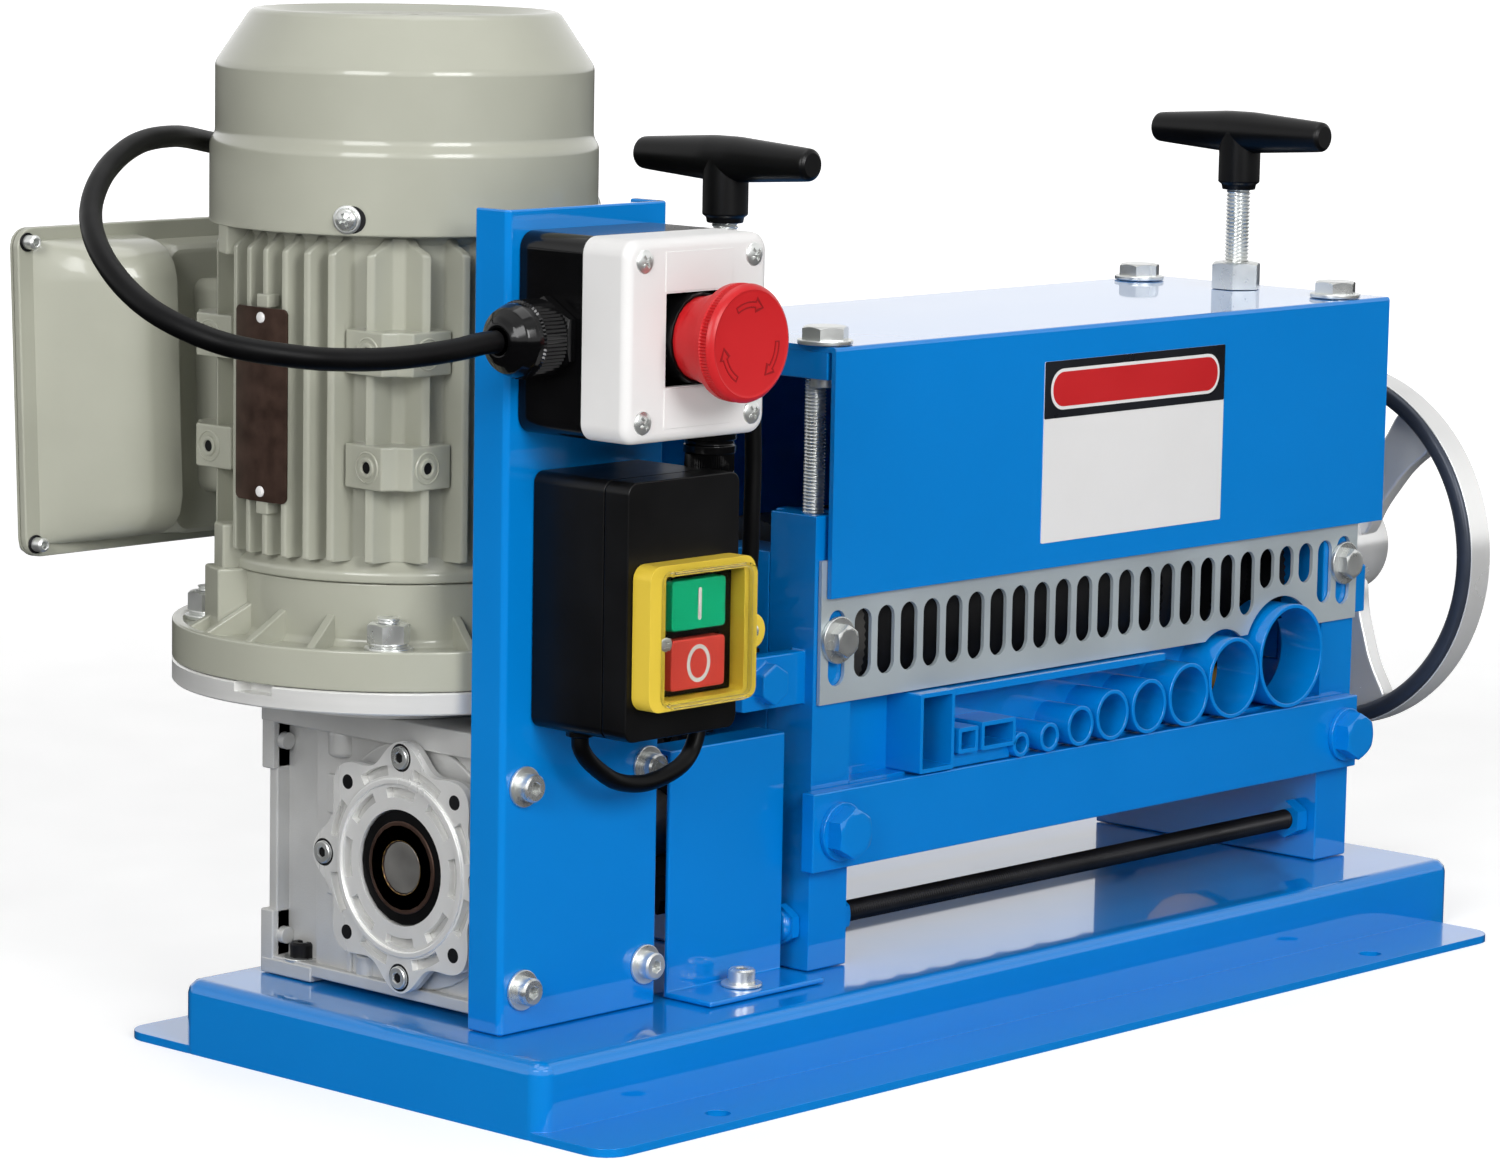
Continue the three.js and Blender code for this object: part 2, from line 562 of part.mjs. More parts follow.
// Slotted guard that lies on the front of the frames and slides up and down on its bolts
function guardPlate() {
  const outline = polygon([
    [guard.left, guard.low], [guard.right, guard.low], [guard.right, guard.high], [guard.left, guard.high]]);
  for (let i = 0; i < guard.slotCount; i += 1) {
    const x = guard.firstSlot + i * guard.pitch;
    const low = i >= guard.shortFrom && i <= guard.shortTo ? guard.shortLow : guard.slotLow;
    outline.holes.push(slotShape(x, low, guard.slotHigh, guard.slotWidth));
  }
  for (const x of [frame.leftX, frame.rightX]) {
    const middle = x + frame.thickness / 2;
    outline.holes.push(slotShape(middle, guard.boltSlotLow, guard.boltSlotHigh, guard.boltSlotWidth));
  }
  const plate = extrude('y', outline, 0, guard.thickness, 2);
  const arcs = tubes.round.slice(-guard.arcCount).map(({ x, diameter }) => {
    const centre = [x, rail.high + tubes.floorGap + diameter / 2];
    return rod('y', diameter / 2 + guard.arcClear, -cutOver, guard.thickness + cutOver, centre, largeSides);
  });
  const part = mesh('slotted_guard_plate', cut(plate, arcs), finish.zinc);
  part.position.y = frameFront - gap - guard.thickness;
  return part;
}

// Sliding block that carries the roller shaft, with a T-slot for the screw's collar
function bearingBlock(name) {
  const halfY = frame.windowHalf - gap;
  const low = frame.windowBottom + gap - upperZ;
  const body = box(0, frame.thickness, -halfY, halfY, low, block.halfHeight);
  const ribX = (frame.thickness - frame.ribWidth) / 2 - gap;
  const grooves = [-1, 1].map((side) => box(ribX, frame.thickness - ribX,
    ...[side * (frame.windowHalf - frame.ribDepth - gap), side * frame.windowHalf].sort((a, b) => a - b),
    low - cutOver, block.halfHeight + cutOver));
  const neckLow = block.halfHeight - block.neckDepth;
  const through = [-cutOver, frame.thickness + cutOver];
  const slot = join(
    box(...through, -block.slotNeck, block.slotNeck, neckLow - joinOver, block.halfHeight + cutOver),
    box(...through, -block.slotHead, block.slotHead, neckLow - block.headDepth, neckLow),
  );
  const bore = rod('x', shaft.radius + shaft.run, -cutOver, frame.thickness + cutOver);
  return mesh(name, cut(body, grooves, slot, bore), finish.blue);
}

function adjustingScrew(name) {
  const collarLow = upperZ + block.halfHeight - block.neckDepth - block.headDepth + gap;
  const solid = join(
    rod('z', screw.collar, collarLow, collarLow + screw.collarHeight),
    rod('z', screw.radius, collarLow + joinOver, handleLow + handle.socket - gap, [0, 0], smallSides),
  );
  return mesh(name, solid, finish.zinc);
}

function teeHandle(name) {
  const hub = turned('z', [
    [0, handleLow], [handle.hubFoot, handleLow], [handle.hubRadius, handleLow + handle.edge * 2],
    [handle.hubRadius, handle.barZ], [0, handle.barZ],
  ]);
  const { halfLength: half, centre, end, edge } = handle;
  const bar = turned('y', [
    [0, -half], [end - edge, -half], [end, edge - half], [centre, 0], [end, half - edge], [end - edge, half],
    [0, half],
  ], [0, handle.barZ], tubes.sides);
  const bore = screw.radius + gap;
  const socket = rod('z', bore, handleLow - cutOver, handleLow + handle.socket, [0, 0], smallSides);
  return mesh(name, cut(join(hub, bar), socket), finish.black);
}

// Roller shaft with the knurled body; shallower lands leave room over the larger tubes
function knurledRoller() {
  const { left, right, radius, landInset } = roller;
  const seatEnd = wheel.hubLeft - gap;
  const shaftEnd = wheel.hubRight - gap;
  const profile = [[0, roller.shaftLeft], [shaft.radius, roller.shaftLeft], [shaft.radius, left]];
  profile.push([radius - landInset, left], [radius, left + landInset]);
  for (const groove of roller.grooves) {
    const middle = tubes.round[groove.tube].x;
    const [low, high] = [middle - groove.width / 2, middle + groove.width / 2];
    profile.push([radius, low - landInset], [groove.radius, low], [groove.radius, high]);
    profile.push([radius, high + landInset]);
  }
  profile.push([radius, right - landInset], [radius - landInset, right], [shaft.radius, right]);
  profile.push([shaft.radius, seatEnd], [shaft.wheelSeat, seatEnd]);
  profile.push([shaft.wheelSeat, shaftEnd], [0, shaftEnd]);
  return mesh('knurled_roller', turned('x', profile, [0, 0], largeSides), finish.darkSteel);
}

function spurGear(name, phase) {
  const { teeth, tip, root, tipHalf, rootHalf, left, width, hub, hubLeft } = gear;
  const wheelBody = toothed('x', teeth, tip, root, tipHalf, rootHalf, left, left + width, phase);
  const boss = rod('x', hub, hubLeft, left + joinOver);
  const bore = rod('x', shaft.radius + shaft.run, hubLeft - cutOver, left + width + cutOver);
  return mesh(name, cut(join(wheelBody, boss), bore), finish.darkSteel);
}

function handWheel() {
  const { left, width, outer, inner, hub, hubLeft, hubRight, spokeLeft, spokeWidth } = wheel;
  const rim = tube('x', outer, inner, left, left + width, [0, 0], largeSides);
  const spokes = [];
  for (let i = 0; i < wheel.spokes; i += 1) {
    const angle = radians(wheel.firstSpoke + i * 360 / wheel.spokes);
    const [c, s] = [Math.cos(angle), Math.sin(angle)];
    const rimMiddle = (outer + inner) / 2;
    const rootHalf = wheel.spokeRoot / 2;
    const tipHalf = wheel.spokeTip / 2;
    const corners = [[0, -rootHalf], [rimMiddle, -tipHalf], [rimMiddle, tipHalf], [0, rootHalf]];
    const turnedCorners = corners.map(([along, across]) => [along * c - across * s, along * s + across * c]);
    spokes.push(extrude('x', polygon(turnedCorners), spokeLeft, spokeLeft + spokeWidth));
  }
  const pinAt = polar(crank.radius, wheel.firstSpoke);
  const pinSeat = spokeLeft + spokeWidth;
  const gripLeft = left + width + gap;
  const gripRight = gripLeft + crank.grip;
  const pin = join(
    rod('x', crank.headRadius, pinSeat - joinOver, gripLeft - gap, pinAt),
    rod('x', crank.pin, pinSeat, gripRight + gap + joinOver, pinAt, smallSides),
    rod('x', crank.headRadius, gripRight + gap, gripRight + gap + crank.head, pinAt),
  );
  const bore = rod('x', shaft.wheelSeat + gap, hubLeft - cutOver, hubRight + cutOver);
  const solid = cut(join(rim, spokes, rod('x', hub, hubLeft, hubRight)), bore);
  return mesh('handwheel', join(solid, pin), finish.chrome);
}

function crankKnob() {
  const inner = crank.pin + gap;
  const left = wheel.left + wheel.width + gap;
  const right = left + crank.grip;
  const { gripRadius, waist } = crank;
  const solid = turned('x', [
    [inner, left], [waist, left], [gripRadius, left + waist], [waist, (left + right) / 2],
    [gripRadius, right - waist], [waist, right], [inner, right], [inner, left],
  ], polar(crank.radius, wheel.firstSpoke));
  return mesh('crank_knob', solid, finish.black);
}

function cutterShaft() {
  const solid = turned('x', [
    [0, cutter.left], [shaft.outputRadius, cutter.left], [shaft.outputRadius, cutter.step],
    [shaft.radius, cutter.step], [shaft.radius, cutter.shaftEnd], [0, cutter.shaftEnd],
  ]);
  return mesh('cutter_shaft', solid, finish.steel);
}

// Circular blades, one under each guide tube, with their spacers
function bladeStack() {
  const inner = shaft.radius + gap;
  const half = blades.thickness / 2;
  const centres = [
    ...tubes.square.map(({ left, width }) => left + width / 2), ...tubes.round.map(({ x }) => x)];
  const profile = [[inner, roller.left], [blades.hub, roller.left]];
  for (const x of centres) {
    profile.push([blades.hub, x - half], [blades.radius, x], [blades.hub, x + half]);
  }
  profile.push([blades.hub, roller.right], [inner, roller.right], [inner, roller.left]);
  return mesh('blade_stack', turned('x', profile, [0, 0], tubes.sides), finish.steel);
}

function wormWheelPart() {
  const { hub, tip, root, width, teeth, inset } = wormWheel;
  const left = motor.x - width / 2;
  const toothPitch = 2 * Math.PI * root / teeth;
  const rim = toothed('x', teeth, tip, root, toothPitch / 8, toothPitch / 4, left, left + width, 0);
  const barrel = rod('x', hub, gearbox.leftFace + inset, gearbox.rightFace - inset);
  const boreEnds = [gearbox.leftFace - cutOver, gearbox.rightFace + cutOver];
  const bore = rod('x', shaft.outputRadius + gap, ...boreEnds);
  return mesh('worm_wheel', cut(join(rim, barrel), bore), finish.bronze);
}

// Gearbox casting about the output axis in Y and Z, with its X at the motor axis
function gearboxHousing() {
  const half = gearbox.width / 2;
  const front = gearbox.front - head.shaftY;
  const back = gearbox.back - head.shaftY;
  const wormY = motor.y - head.shaftY;
  const low = gap - head.lowerZ;
  const high = gearbox.height - head.lowerZ;
  const body = roundedBox('z', -half, half, front, back, low, high, gearbox.corner);
  const boss = rod('x', gearbox.rightBoss, half - joinOver, gearbox.rightFace - motor.x);
  const cavity = rod('x', gearbox.wheelBore, -half - cutOver, half - gearbox.wall);
  const rightBore = rod('x', wormWheel.hub + shaft.run, half - gearbox.wall - joinOver,
    gearbox.rightFace - motor.x + cutOver);
  const wormBore = rod('z', gearbox.wormBore, low + gearbox.wormFloor, high + cutOver, [0, wormY]);
  const pockets = [-1, 1].map((side) => box(
    ...[side * (half - gearbox.pocket), side * (half + cutOver)].sort((a, b) => a - b),
    gearbox.pocketFront - head.shaftY, gearbox.pocketBack - head.shaftY,
    gearbox.pocketLow - head.lowerZ, gearbox.pocketHigh - head.lowerZ));
  const waists = [-1, 1].map((side) => box(
    ...[side * (half - gearbox.waist), side * (half + cutOver)].sort((a, b) => a - b),
    gearbox.corner + outputCover.lobeMean, gearbox.pocketFront - head.shaftY - gearbox.wall,
    low + gearbox.footHeight, high - gearbox.footHeight));
  const rear = box(-half + gearbox.wall, half - gearbox.wall, back - gearbox.waist, back + cutOver,
    low + gearbox.footHeight, high - gearbox.footHeight);
  return mesh('gearbox_housing', cut(join(body, boss), cavity, rightBore, wormBore, pockets, waists, rear),
    finish.casting);
}

function arcPocket(low, high, middle, spread, from, to) {
  const points = [];
  for (let i = 0; i <= arcSteps; i += 1) {
    points.push(polar(low, middle - spread / 2 + spread * i / arcSteps));
  }
  for (let i = arcSteps; i >= 0; i -= 1) {
    points.push(polar(high, middle - spread / 2 + spread * i / arcSteps));
  }
  return extrude('x', polygon(points), from, to);
}

function gearboxCover() {
  const { lobeMean, lobeSwing, lobes, thickness, pocketDepth } = outputCover;
  const pointsPerLobe = outputCover.lobePoints;
  const outline = [];
  for (let i = 0; i < lobes * pointsPerLobe; i += 1) {
    const angle = 360 * i / (lobes * pointsPerLobe);
    outline.push(polar(lobeMean + lobeSwing * Math.cos(radians(lobes * angle)), angle));
  }
  const plate = extrude('x', polygon(outline), 0, thickness);
  const spigot = rod('x', outputCover.spigot, thickness - joinOver, thickness + outputCover.spigotDepth);
  const bore = rod('x', outputCover.bore, -cutOver, thickness + outputCover.spigotDepth + cutOver);
  const spread = 360 / lobes * outputCover.pocketShare;
  const { innerLow, innerHigh, outerLow, outerHigh } = outputCover;
  const rings = [[innerLow, innerHigh], [outerLow, outerHigh]];
  const pockets = [];
  for (let i = 0; i < lobes; i += 1) {
    const middle = 360 * (i + 0.5) / lobes;
    pockets.push(...rings.map((ring) => arcPocket(...ring, middle, spread, -cutOver, pocketDepth)));
  }
  const part = mesh('gearbox_output_cover', cut(join(plate, spigot), bore, pockets), finish.casting);
  part.position.x = gearbox.leftFace - motor.x;
  return part;
}

function oilSeal() {
  const left = gearbox.leftFace + seal.inset - motor.x;
  const solid = tube('x', outputCover.bore - gap, wormWheel.hub + gap, left, left + seal.depth);
  return mesh('oil_seal', solid, finish.rubber);
}

// Adapter disc between the gearbox and the motor flange
function motorAdapter() {
  const low = flange.adapterLow;
  const high = low + flange.adapter;
  const disc = rod('z', flange.radius, low, high, [0, 0], largeSides);
  const hub = rod('z', flange.hub, gearbox.height + gap, low + joinOver);
  const bore = rod('z', flange.bore, gearbox.height - cutOver, high + cutOver);
  const slotAt = polar(flange.radius, flange.slotAngle);
  const slotHalf = flange.slotWidth / 2;
  const slot = box(slotAt[0] - flange.slotDepth, slotAt[0] + flange.slotDepth,
    slotAt[1] - slotHalf, slotAt[1] + slotHalf, high - flange.slotHeight, high + cutOver);
  return mesh('motor_adapter', cut(join(disc, hub), bore, slot), finish.casting);
}

// Drive end shield: flange, barrel and ribs between the bolts
function endShield() {
  const low = flange.adapterLow + flange.adapter + gap;
  const flangeTop = low + shield.thickness;
  const { barrel, top, wall, floor } = shield;
  const inner = rotor.shaft + shaft.run;
  const body = turned('z', [
    [inner, low], [flange.radius, low], [flange.radius, flangeTop], [barrel, flangeTop],
    [barrel, top], [barrel - wall, top],
    [barrel - wall, low + floor], [inner, low + floor], [inner, low],
  ], [0, 0], largeSides);
  const ribs = [];
  for (let quarter = 0; quarter < 4; quarter += 1) {
    for (const offset of ribOffsets) {
      const shape = polygon([
        [barrel - wall / 2, flangeTop - joinOver], [shield.ribOuter, flangeTop - joinOver],
        [barrel - wall / 2, shield.ribTop]]);
      const geometry = new THREE.ExtrudeGeometry(shape, { depth: shield.ribThickness, bevelEnabled: false });
      geometry.translate(0, 0, -shield.ribThickness / 2);
      geometry.rotateX(Math.PI / 2);
      geometry.rotateZ(radians(boltPhase + 90 * quarter + offset));
      ribs.push(solidOf(geometry));
    }
  }
  return mesh('motor_end_shield', join(body, ribs), finish.motorGrey);
}

// One quarter of the stator's outline: parallel fins with a heavier one at each end
function finQuarter() {
  const { root, tip, fin, finRoot, cornerFin, cornerRoot } = stator;
  const corner = [[cornerRoot, cornerFin + fin / 2], [tip, cornerFin + fin / 2], [tip, cornerFin - fin / 2],
    [root, cornerFin - finRoot / 2]];
  const points = corner.map(([radius, across]) => [radius, -across]);
  for (const offset of finOffsets) {
    points.push([root, offset - finRoot / 2], [tip, offset - fin / 2], [tip, offset + fin / 2],
      [root, offset + finRoot / 2]);
  }
  points.push(...corner.reverse());
  return points.map(([radius, across]) => [Math.sqrt(radius ** 2 - across ** 2), across]);
}

// Pair of pads on a corner of the stator, with a notch between their faces
function cornerPad(level, turn) {
  const { padFace, padNear, padFar, padNotch, padHeight } = stator;
  const outline = polygon([[padFace, padNear], [padFace, padFar], [padNotch, padNotch], [padFar, padFace],
    [padNear, padFace]]);
  const pad = extrude('z', outline, level - padHeight / 2, level + padHeight / 2);
  return pad.rotate([0, 0, turn]);
}

// Stator frame with upright cooling fins, four pairs of cast pads and cover lugs
function statorFrame() {
  const { ring, ringHeight, coneHeight, barrel, collar, bore, low, topRing, top, endPlate } = stator;
  const finTop = top - topRing;
  const inner = bore - endPlate;
  const points = [];
  for (let quarter = 0; quarter < 4; quarter += 1) {
    for (const [along, across] of finQuarter()) {
      const angle = THREE.MathUtils.radToDeg(Math.atan2(across, along));
      points.push(polar(Math.hypot(along, across), angle + 90 * quarter));
    }
  }
  const finned = extrude('z', polygon(points), stator.finLow, finTop);
  const body = turned('z', [
    [inner, low], [ring, low], [ring, low + ringHeight], [barrel, low + ringHeight + coneHeight],
    [barrel, finTop - joinOver], [collar, finTop - joinOver], [collar, top], [inner, top], [inner, low],
  ], [0, 0], largeSides);
  const cap = rod('z', bore, top - endPlate, top, [0, 0], largeSides);
  const solids = [finned, body, cap];
  for (let i = 0; i < 4; i += 1) {
    solids.push(...padLevels.map((level) => cornerPad(level, 90 * i)));
    const lug = new THREE.BoxGeometry(stator.lugTip - bore, stator.lug, stator.lugHeight);
    lug.translate((stator.lugTip + bore) / 2, 0, top - stator.lugHeight / 2);
    lug.rotateZ(radians(boltPhase + 90 * i));
    solids.push(solidOf(lug));
  }
  const ceiling = top - endPlate;
  const cavity = rod('z', bore, low - cutOver, ceiling, [0, 0], largeSides);
  const shaftHole = rod('z', rotor.shaft + shaft.run, ceiling - joinOver, top + cutOver, [0, 0], smallSides);
  return mesh('stator_frame', cut(join(solids), cavity, shaftHole), finish.motorGrey);
}

function statorCore() {
  const { coreLow, coreHigh, bore } = stator;
  const outer = bore - gap;
  const inner = rotor.radius + rotor.airGap;
  const { coilInner, coilOuter, coil } = stack;
  const solid = turned('z', [
    [inner, coreLow], [coilInner, coreLow], [coilInner, coreLow - coil], [coilOuter, coreLow - coil],
    [coilOuter, coreLow], [outer, coreLow], [outer, coreHigh], [coilOuter, coreHigh],
    [coilOuter, coreHigh + coil], [coilInner, coreHigh + coil], [coilInner, coreHigh], [inner, coreHigh],
    [inner, coreLow],
  ], [0, 0], tubes.sides);
  return mesh('stator_core', solid, finish.copper);
}

function rotorPart() {
  const { radius, shaft: shaftRadius, low, high, shaftLow, shaftHigh } = rotor;
  const solid = turned('z', [
    [0, shaftLow], [shaftRadius, shaftLow], [shaftRadius, low], [radius, low],
    [radius, high], [shaftRadius, high], [shaftRadius, shaftHigh], [0, shaftHigh],
  ]);
  return mesh('rotor', solid, finish.steel);
}

function wormPart() {
  const inner = rotor.shaft + gap;
  const { core, thread, low, high, threadLow, threadHigh, pitch } = worm;
  const [rise, crest, fall] = worm.ridgeShares.map((share) => share * pitch);
  const profile = [[inner, low], [core, low]];
  for (let z = threadLow; z < threadHigh; z += pitch) {
    profile.push([core, z], [thread, z + rise], [thread, z + crest], [core, z + fall]);
  }
  profile.push([core, high], [inner, high], [inner, low]);
  return mesh('worm', turned('z', profile, [0, 0], tubes.sides), finish.steel);
}

function coolingFan() {
  const { low, disc, radius, hub, hubHeight, blade, bladeHeight } = fan;
  const solids = [rod('z', radius, low, low + disc), rod('z', hub, low, low + hubHeight)];
  for (let i = 0; i < fan.blades; i += 1) {
    const vane = new THREE.BoxGeometry(radius - hub, blade, bladeHeight);
    vane.translate((radius + hub - blade) / 2, 0, low + disc + bladeHeight / 2 - joinOver);
    vane.rotateZ(2 * Math.PI * i / fan.blades);
    solids.push(solidOf(vane));
  }
  const bore = rod('z', rotor.shaft + gap, low - cutOver, low + hubHeight + cutOver, [0, 0], smallSides);
  return mesh('cooling_fan', cut(join(solids), bore), finish.black);
}

function fanCoverPart() {
  const { low, skirtHeight, skirt, drum, shoulder, lid, lidEdge, top, wall } = fanCover;
  const skirtTop = low + skirtHeight;
  const drumTop = top - shoulder;
  const shell = turned('z', [
    [skirt - wall, low], [skirt, low], [skirt, skirtTop], [drum, skirtTop + wall], [drum, drumTop],
    [lid, top - lidEdge], [lid - wall, top], [0, top], [0, top - wall], [lid - wall * 2, top - wall],
    [drum - wall, drumTop - wall / 2], [drum - wall, skirtTop], [skirt - wall, skirtTop - wall],
    [skirt - wall, low],
  ], [0, 0], largeSides);
  const vents = [];
  for (const radius of fanCover.ventRings) {
    for (let i = 0; i < fanCover.vents; i += 1) {
      const at = polar(radius, 360 * i / fanCover.vents);
      vents.push(rod('z', fanCover.ventRadius, top - wall - cutOver, top + cutOver, at, ventSides));
    }
  }
  return mesh('fan_cover', cut(shell, vents), finish.motorGrey);
}

// Terminal box: flange with a deep pan for the capacitor, a shallow pan and a neck
function terminalBox() {
  const t = terminal;
  const open = t.flangeY + t.flange;
  const back = open - joinOver;
  const panLow = t.low + t.sideInset;
  const panHigh = t.high - t.sideInset;
  const overlapX = t.bulgeRight - t.corner * 2;
  const plate = roundedBox('y', t.left, t.right, t.low, t.high, t.flangeY, open, t.corner);
  const deep = roundedBox('y', t.bulgeLeft, t.bulgeRight, panLow, panHigh, t.bulgeFront, back, t.corner);
  const shallow = roundedBox('y', overlapX, t.shallowRight, panLow, t.shallowHigh, t.shallowFront, back,
    t.corner);
  const neckFront = motor.y + stator.tip + gap;
  const neck = box(t.neckLeft, t.neckRight, neckFront, t.shallowFront + joinOver, t.neckLow, t.neckHigh);
  const entry = rod('z', t.entry, t.shallowHigh - joinOver, t.shallowHigh + t.entryHeight,
    [t.entryX, t.shallowFront + t.entryInset], smallSides);
  const w = t.wall;
  const mouth = open + cutOver;
  const neckBack = t.shallowFront + w + joinOver;
  const hollows = [
    roundedBox('y', t.bulgeLeft + w, t.bulgeRight - w, panLow + w, panHigh - w, t.bulgeFront + w, mouth,
      t.corner - w),
    roundedBox('y', overlapX, t.shallowRight - w, panLow + w, t.shallowHigh - w, t.shallowFront + w, mouth,
      t.corner - w),
    box(t.neckLeft + w, t.neckRight - w, neckFront - cutOver, neckBack, t.neckLow + w, t.neckHigh - w),
  ];
  return mesh('terminal_box', cut(join(plate, deep, shallow, neck, entry), hollows), finish.motorGrey);
}

function terminalLid() {
  const t = terminal;
  const front = t.flangeY + t.flange + gap;
  const outer = roundedBox('y', t.left, t.right, t.low, t.high, front, front + t.lid, t.corner);
  const inner = roundedBox('y', t.left + t.wall, t.right - t.wall, t.low + t.wall, t.high - t.wall,
    front - cutOver, front + t.lid - t.wall, t.corner - t.wall);
  return mesh('terminal_box_lid', cut(outer, inner), finish.motorGrey);
}

function capacitorPart() {
  const t = terminal;
  const at = [(t.bulgeLeft + t.bulgeRight) / 2, t.bulgeFront + t.wall + gap + capacitor.radius];
  return mesh('run_capacitor', rod('z', capacitor.radius, capacitor.low, capacitor.high, at), finish.white);
}

// Tall channel that carries both switch boxes
function controlBracket() {
  const { width, sheet, flange: depth, height, bend } = bracket;
  const chamfer = bend / 2;
  const outline = polygon([
    [chamfer, 0], [width - chamfer, 0], [width, chamfer], [width, depth], [width - sheet, depth],
    [width - sheet, sheet], [sheet, sheet], [sheet, depth], [0, depth], [0, chamfer]]);
  const part = mesh('control_bracket', extrude('z', outline, gap, height), finish.blue);
  part.position.set(bracket.left, bracket.front, 0);
  return part;
}

// Bent guard in front of the shaft between gearbox and frame, with foot and hood
function couplingGuard() {
  const { left, right, front, sheet, height, hood, footReach } = coupler;
  const wall = box(left, right, front, front + sheet, gap, height);
  const foot = box(left, right, front - footReach, front + joinOver, gap, gap + sheet);
  const top = box(left, right, front, front + hood, height - sheet, height);
  return mesh('coupling_guard', join(wall, foot, top), finish.blue);
}

// Open-fronted box in a control group: X and Z about its centre, walls from back to front
function pan(width, height, corner, wall, back, front, opening) {
  const outer = roundedBox('y', -width / 2, width / 2, -height / 2, height / 2, front, back, corner);
  const [low, high] = opening === 'front' ? [front - cutOver, back - wall] : [front + wall, back + cutOver];
  const [x, z] = [width / 2 - wall, height / 2 - wall];
  const inner = roundedBox('y', -x, x, -z, z, low, high, corner - wall / 2);
  return cut(outer, inner);
}

// E-stop box; in its group Y = 0 is the bracket's front face
function estopBase() {
  const { width, height, corner, wall, base: depth } = estop;
  const shell = pan(width, height, corner, wall, -gap, -gap - depth, 'front');
  const entry = rod('x', sideGland.radius, width / 2 - joinOver, width / 2 + sideGland.length,
    [sideGland.y - bracket.front, sideGland.z - estop.z], smallSides);
  return mesh('estop_box_base', join(shell, entry), finish.black);
}

function estopCover() {
  const { width, height, corner, wall, base: depth, cover: reach, window } = estop;
  const back = -gap * 2 - depth;
  const shell = pan(width, height, corner, wall, back, back - reach, 'back');
  const opening = box(-window / 2, window / 2, back - reach - cutOver, back - reach + wall + cutOver,
    -window / 2, window / 2);
  return mesh('estop_box_cover', cut(shell, opening), finish.white);
}

function estopCollar() {
  const front = -gap * 2 - estop.base - estop.cover - estop.collarReach;
  const { collar, collarBore, floor, wellDepth, block: side, blockDepth, plunger } = estop;
  const floorY = front + wellDepth;
  const ring = rod('y', collar, front, floorY + floor);
  const well = rod('y', collarBore, front - cutOver, floorY);
  const blockBack = floorY + floor + blockDepth;
  const contact = box(-side / 2, side / 2, floorY + floor - joinOver, blockBack, -side / 2, side / 2);
  const bore = rod('y', plunger + gap, floorY - cutOver, blockBack + cutOver, [0, 0], smallSides);
  return mesh('estop_collar', cut(join(cut(ring, well), contact), bore), finish.black);
}

function estopHead() {
  const { stem, headRadius, headHeight, stemLength, plunger, plungerFront } = estop;
  const front = estop.headFront - bracket.front;
  const edge = headHeight / 3;
  const back = front + stemLength;
  const solid = turned('y', [
    [0, front], [headRadius - edge, front], [headRadius, front + edge],
    [headRadius, front + headHeight - edge / 2], [stem, front + headHeight], [stem, back], [0, back],
  ]);
  const bore = rod('y', plunger + gap, front + plungerFront, back + cutOver, [0, 0], smallSides);
  return mesh('estop_head', cut(solid, bore), finish.red);
}

function estopPlunger() {
  const front = estop.headFront - bracket.front + estop.plungerFront + gap;
  const pin = rod('y', estop.plunger, front, front + estop.plungerLength, [0, 0], smallSides);
  return mesh('estop_plunger', pin, finish.steel);
}

function cableGland() {
  const at = [glandSize.y - bracket.front, glandSize.z - estop.z];
  const wallX = -estop.width / 2 - gap;
  const lockEnd = wallX - glandSize.lock;
  const nutEnd = lockEnd - glandSize.nut;
  const domeEnd = nutEnd - glandSize.dome;
  const solids = [
    prism('x', glandSize.flats, lockEnd - joinOver, wallX, at),
    prism('x', glandSize.radius * 2, nutEnd, lockEnd, at, glandSize.ribs),
    turned('x', [
      [0, domeEnd], [glandSize.tip, domeEnd], [glandSize.shoulder, nutEnd - glandSize.dome / 2],
      [glandSize.radius - gap, nutEnd + joinOver], [0, nutEnd + joinOver],
    ], at),
  ];
  return mesh('cable_gland', join(solids), finish.black);
}

// Push-button switch; in its group Y = 0 is the bracket's front face
function switchBase() {
  const s = panelSwitch;
  const shell = pan(s.width, s.height, s.corner, s.wall, -gap, -gap - s.base, 'front');
  const mx = s.moduleX - s.x;
  const mz = s.moduleZ - s.z;
  const front = s.moduleFront - bracket.front;
  const body = box(mx - s.moduleWidth / 2, mx + s.moduleWidth / 2, front, -gap - joinOver,
    mz - s.moduleHeight / 2, mz + s.moduleHeight / 2);
  const pockets = [-1, 1].map((side) => {
    const z = mz + side * button.pitch / 2;
    return box(mx - button.width / 2 - gap, mx + button.width / 2 + gap, front - cutOver,
      s.pocketBack - bracket.front, z - button.height / 2 - gap, z + button.height / 2 + gap);
  });
  const entry = rod('z', underGland.radius, -s.height / 2 - underGland.length, joinOver - s.height / 2,
    [underGland.x - s.x, underGland.y - bracket.front], smallSides);
  return mesh('switch_box_base', cut(join(shell, body, entry), pockets), finish.black);
}

// Hole that lets the button module through, between two levels
function moduleHole(front, back) {
  const s = panelSwitch;
  const [x, z] = [s.moduleX - s.x, s.moduleZ - s.z];
  const halfX = s.moduleWidth / 2 + gap;
  const halfZ = s.moduleHeight / 2 + gap;
  return box(x - halfX, x + halfX, front, back, z - halfZ, z + halfZ);
}

function switchCover() {
  const s = panelSwitch;
  const back = -gap * 2 - s.base;
  const shell = pan(s.width, s.height, s.corner, s.wall, back, back - s.cover, 'back');
  const opening = moduleHole(back - s.cover - cutOver, back - s.cover + s.wall + cutOver);
  return mesh('switch_box_cover', cut(shell, opening), finish.black);
}

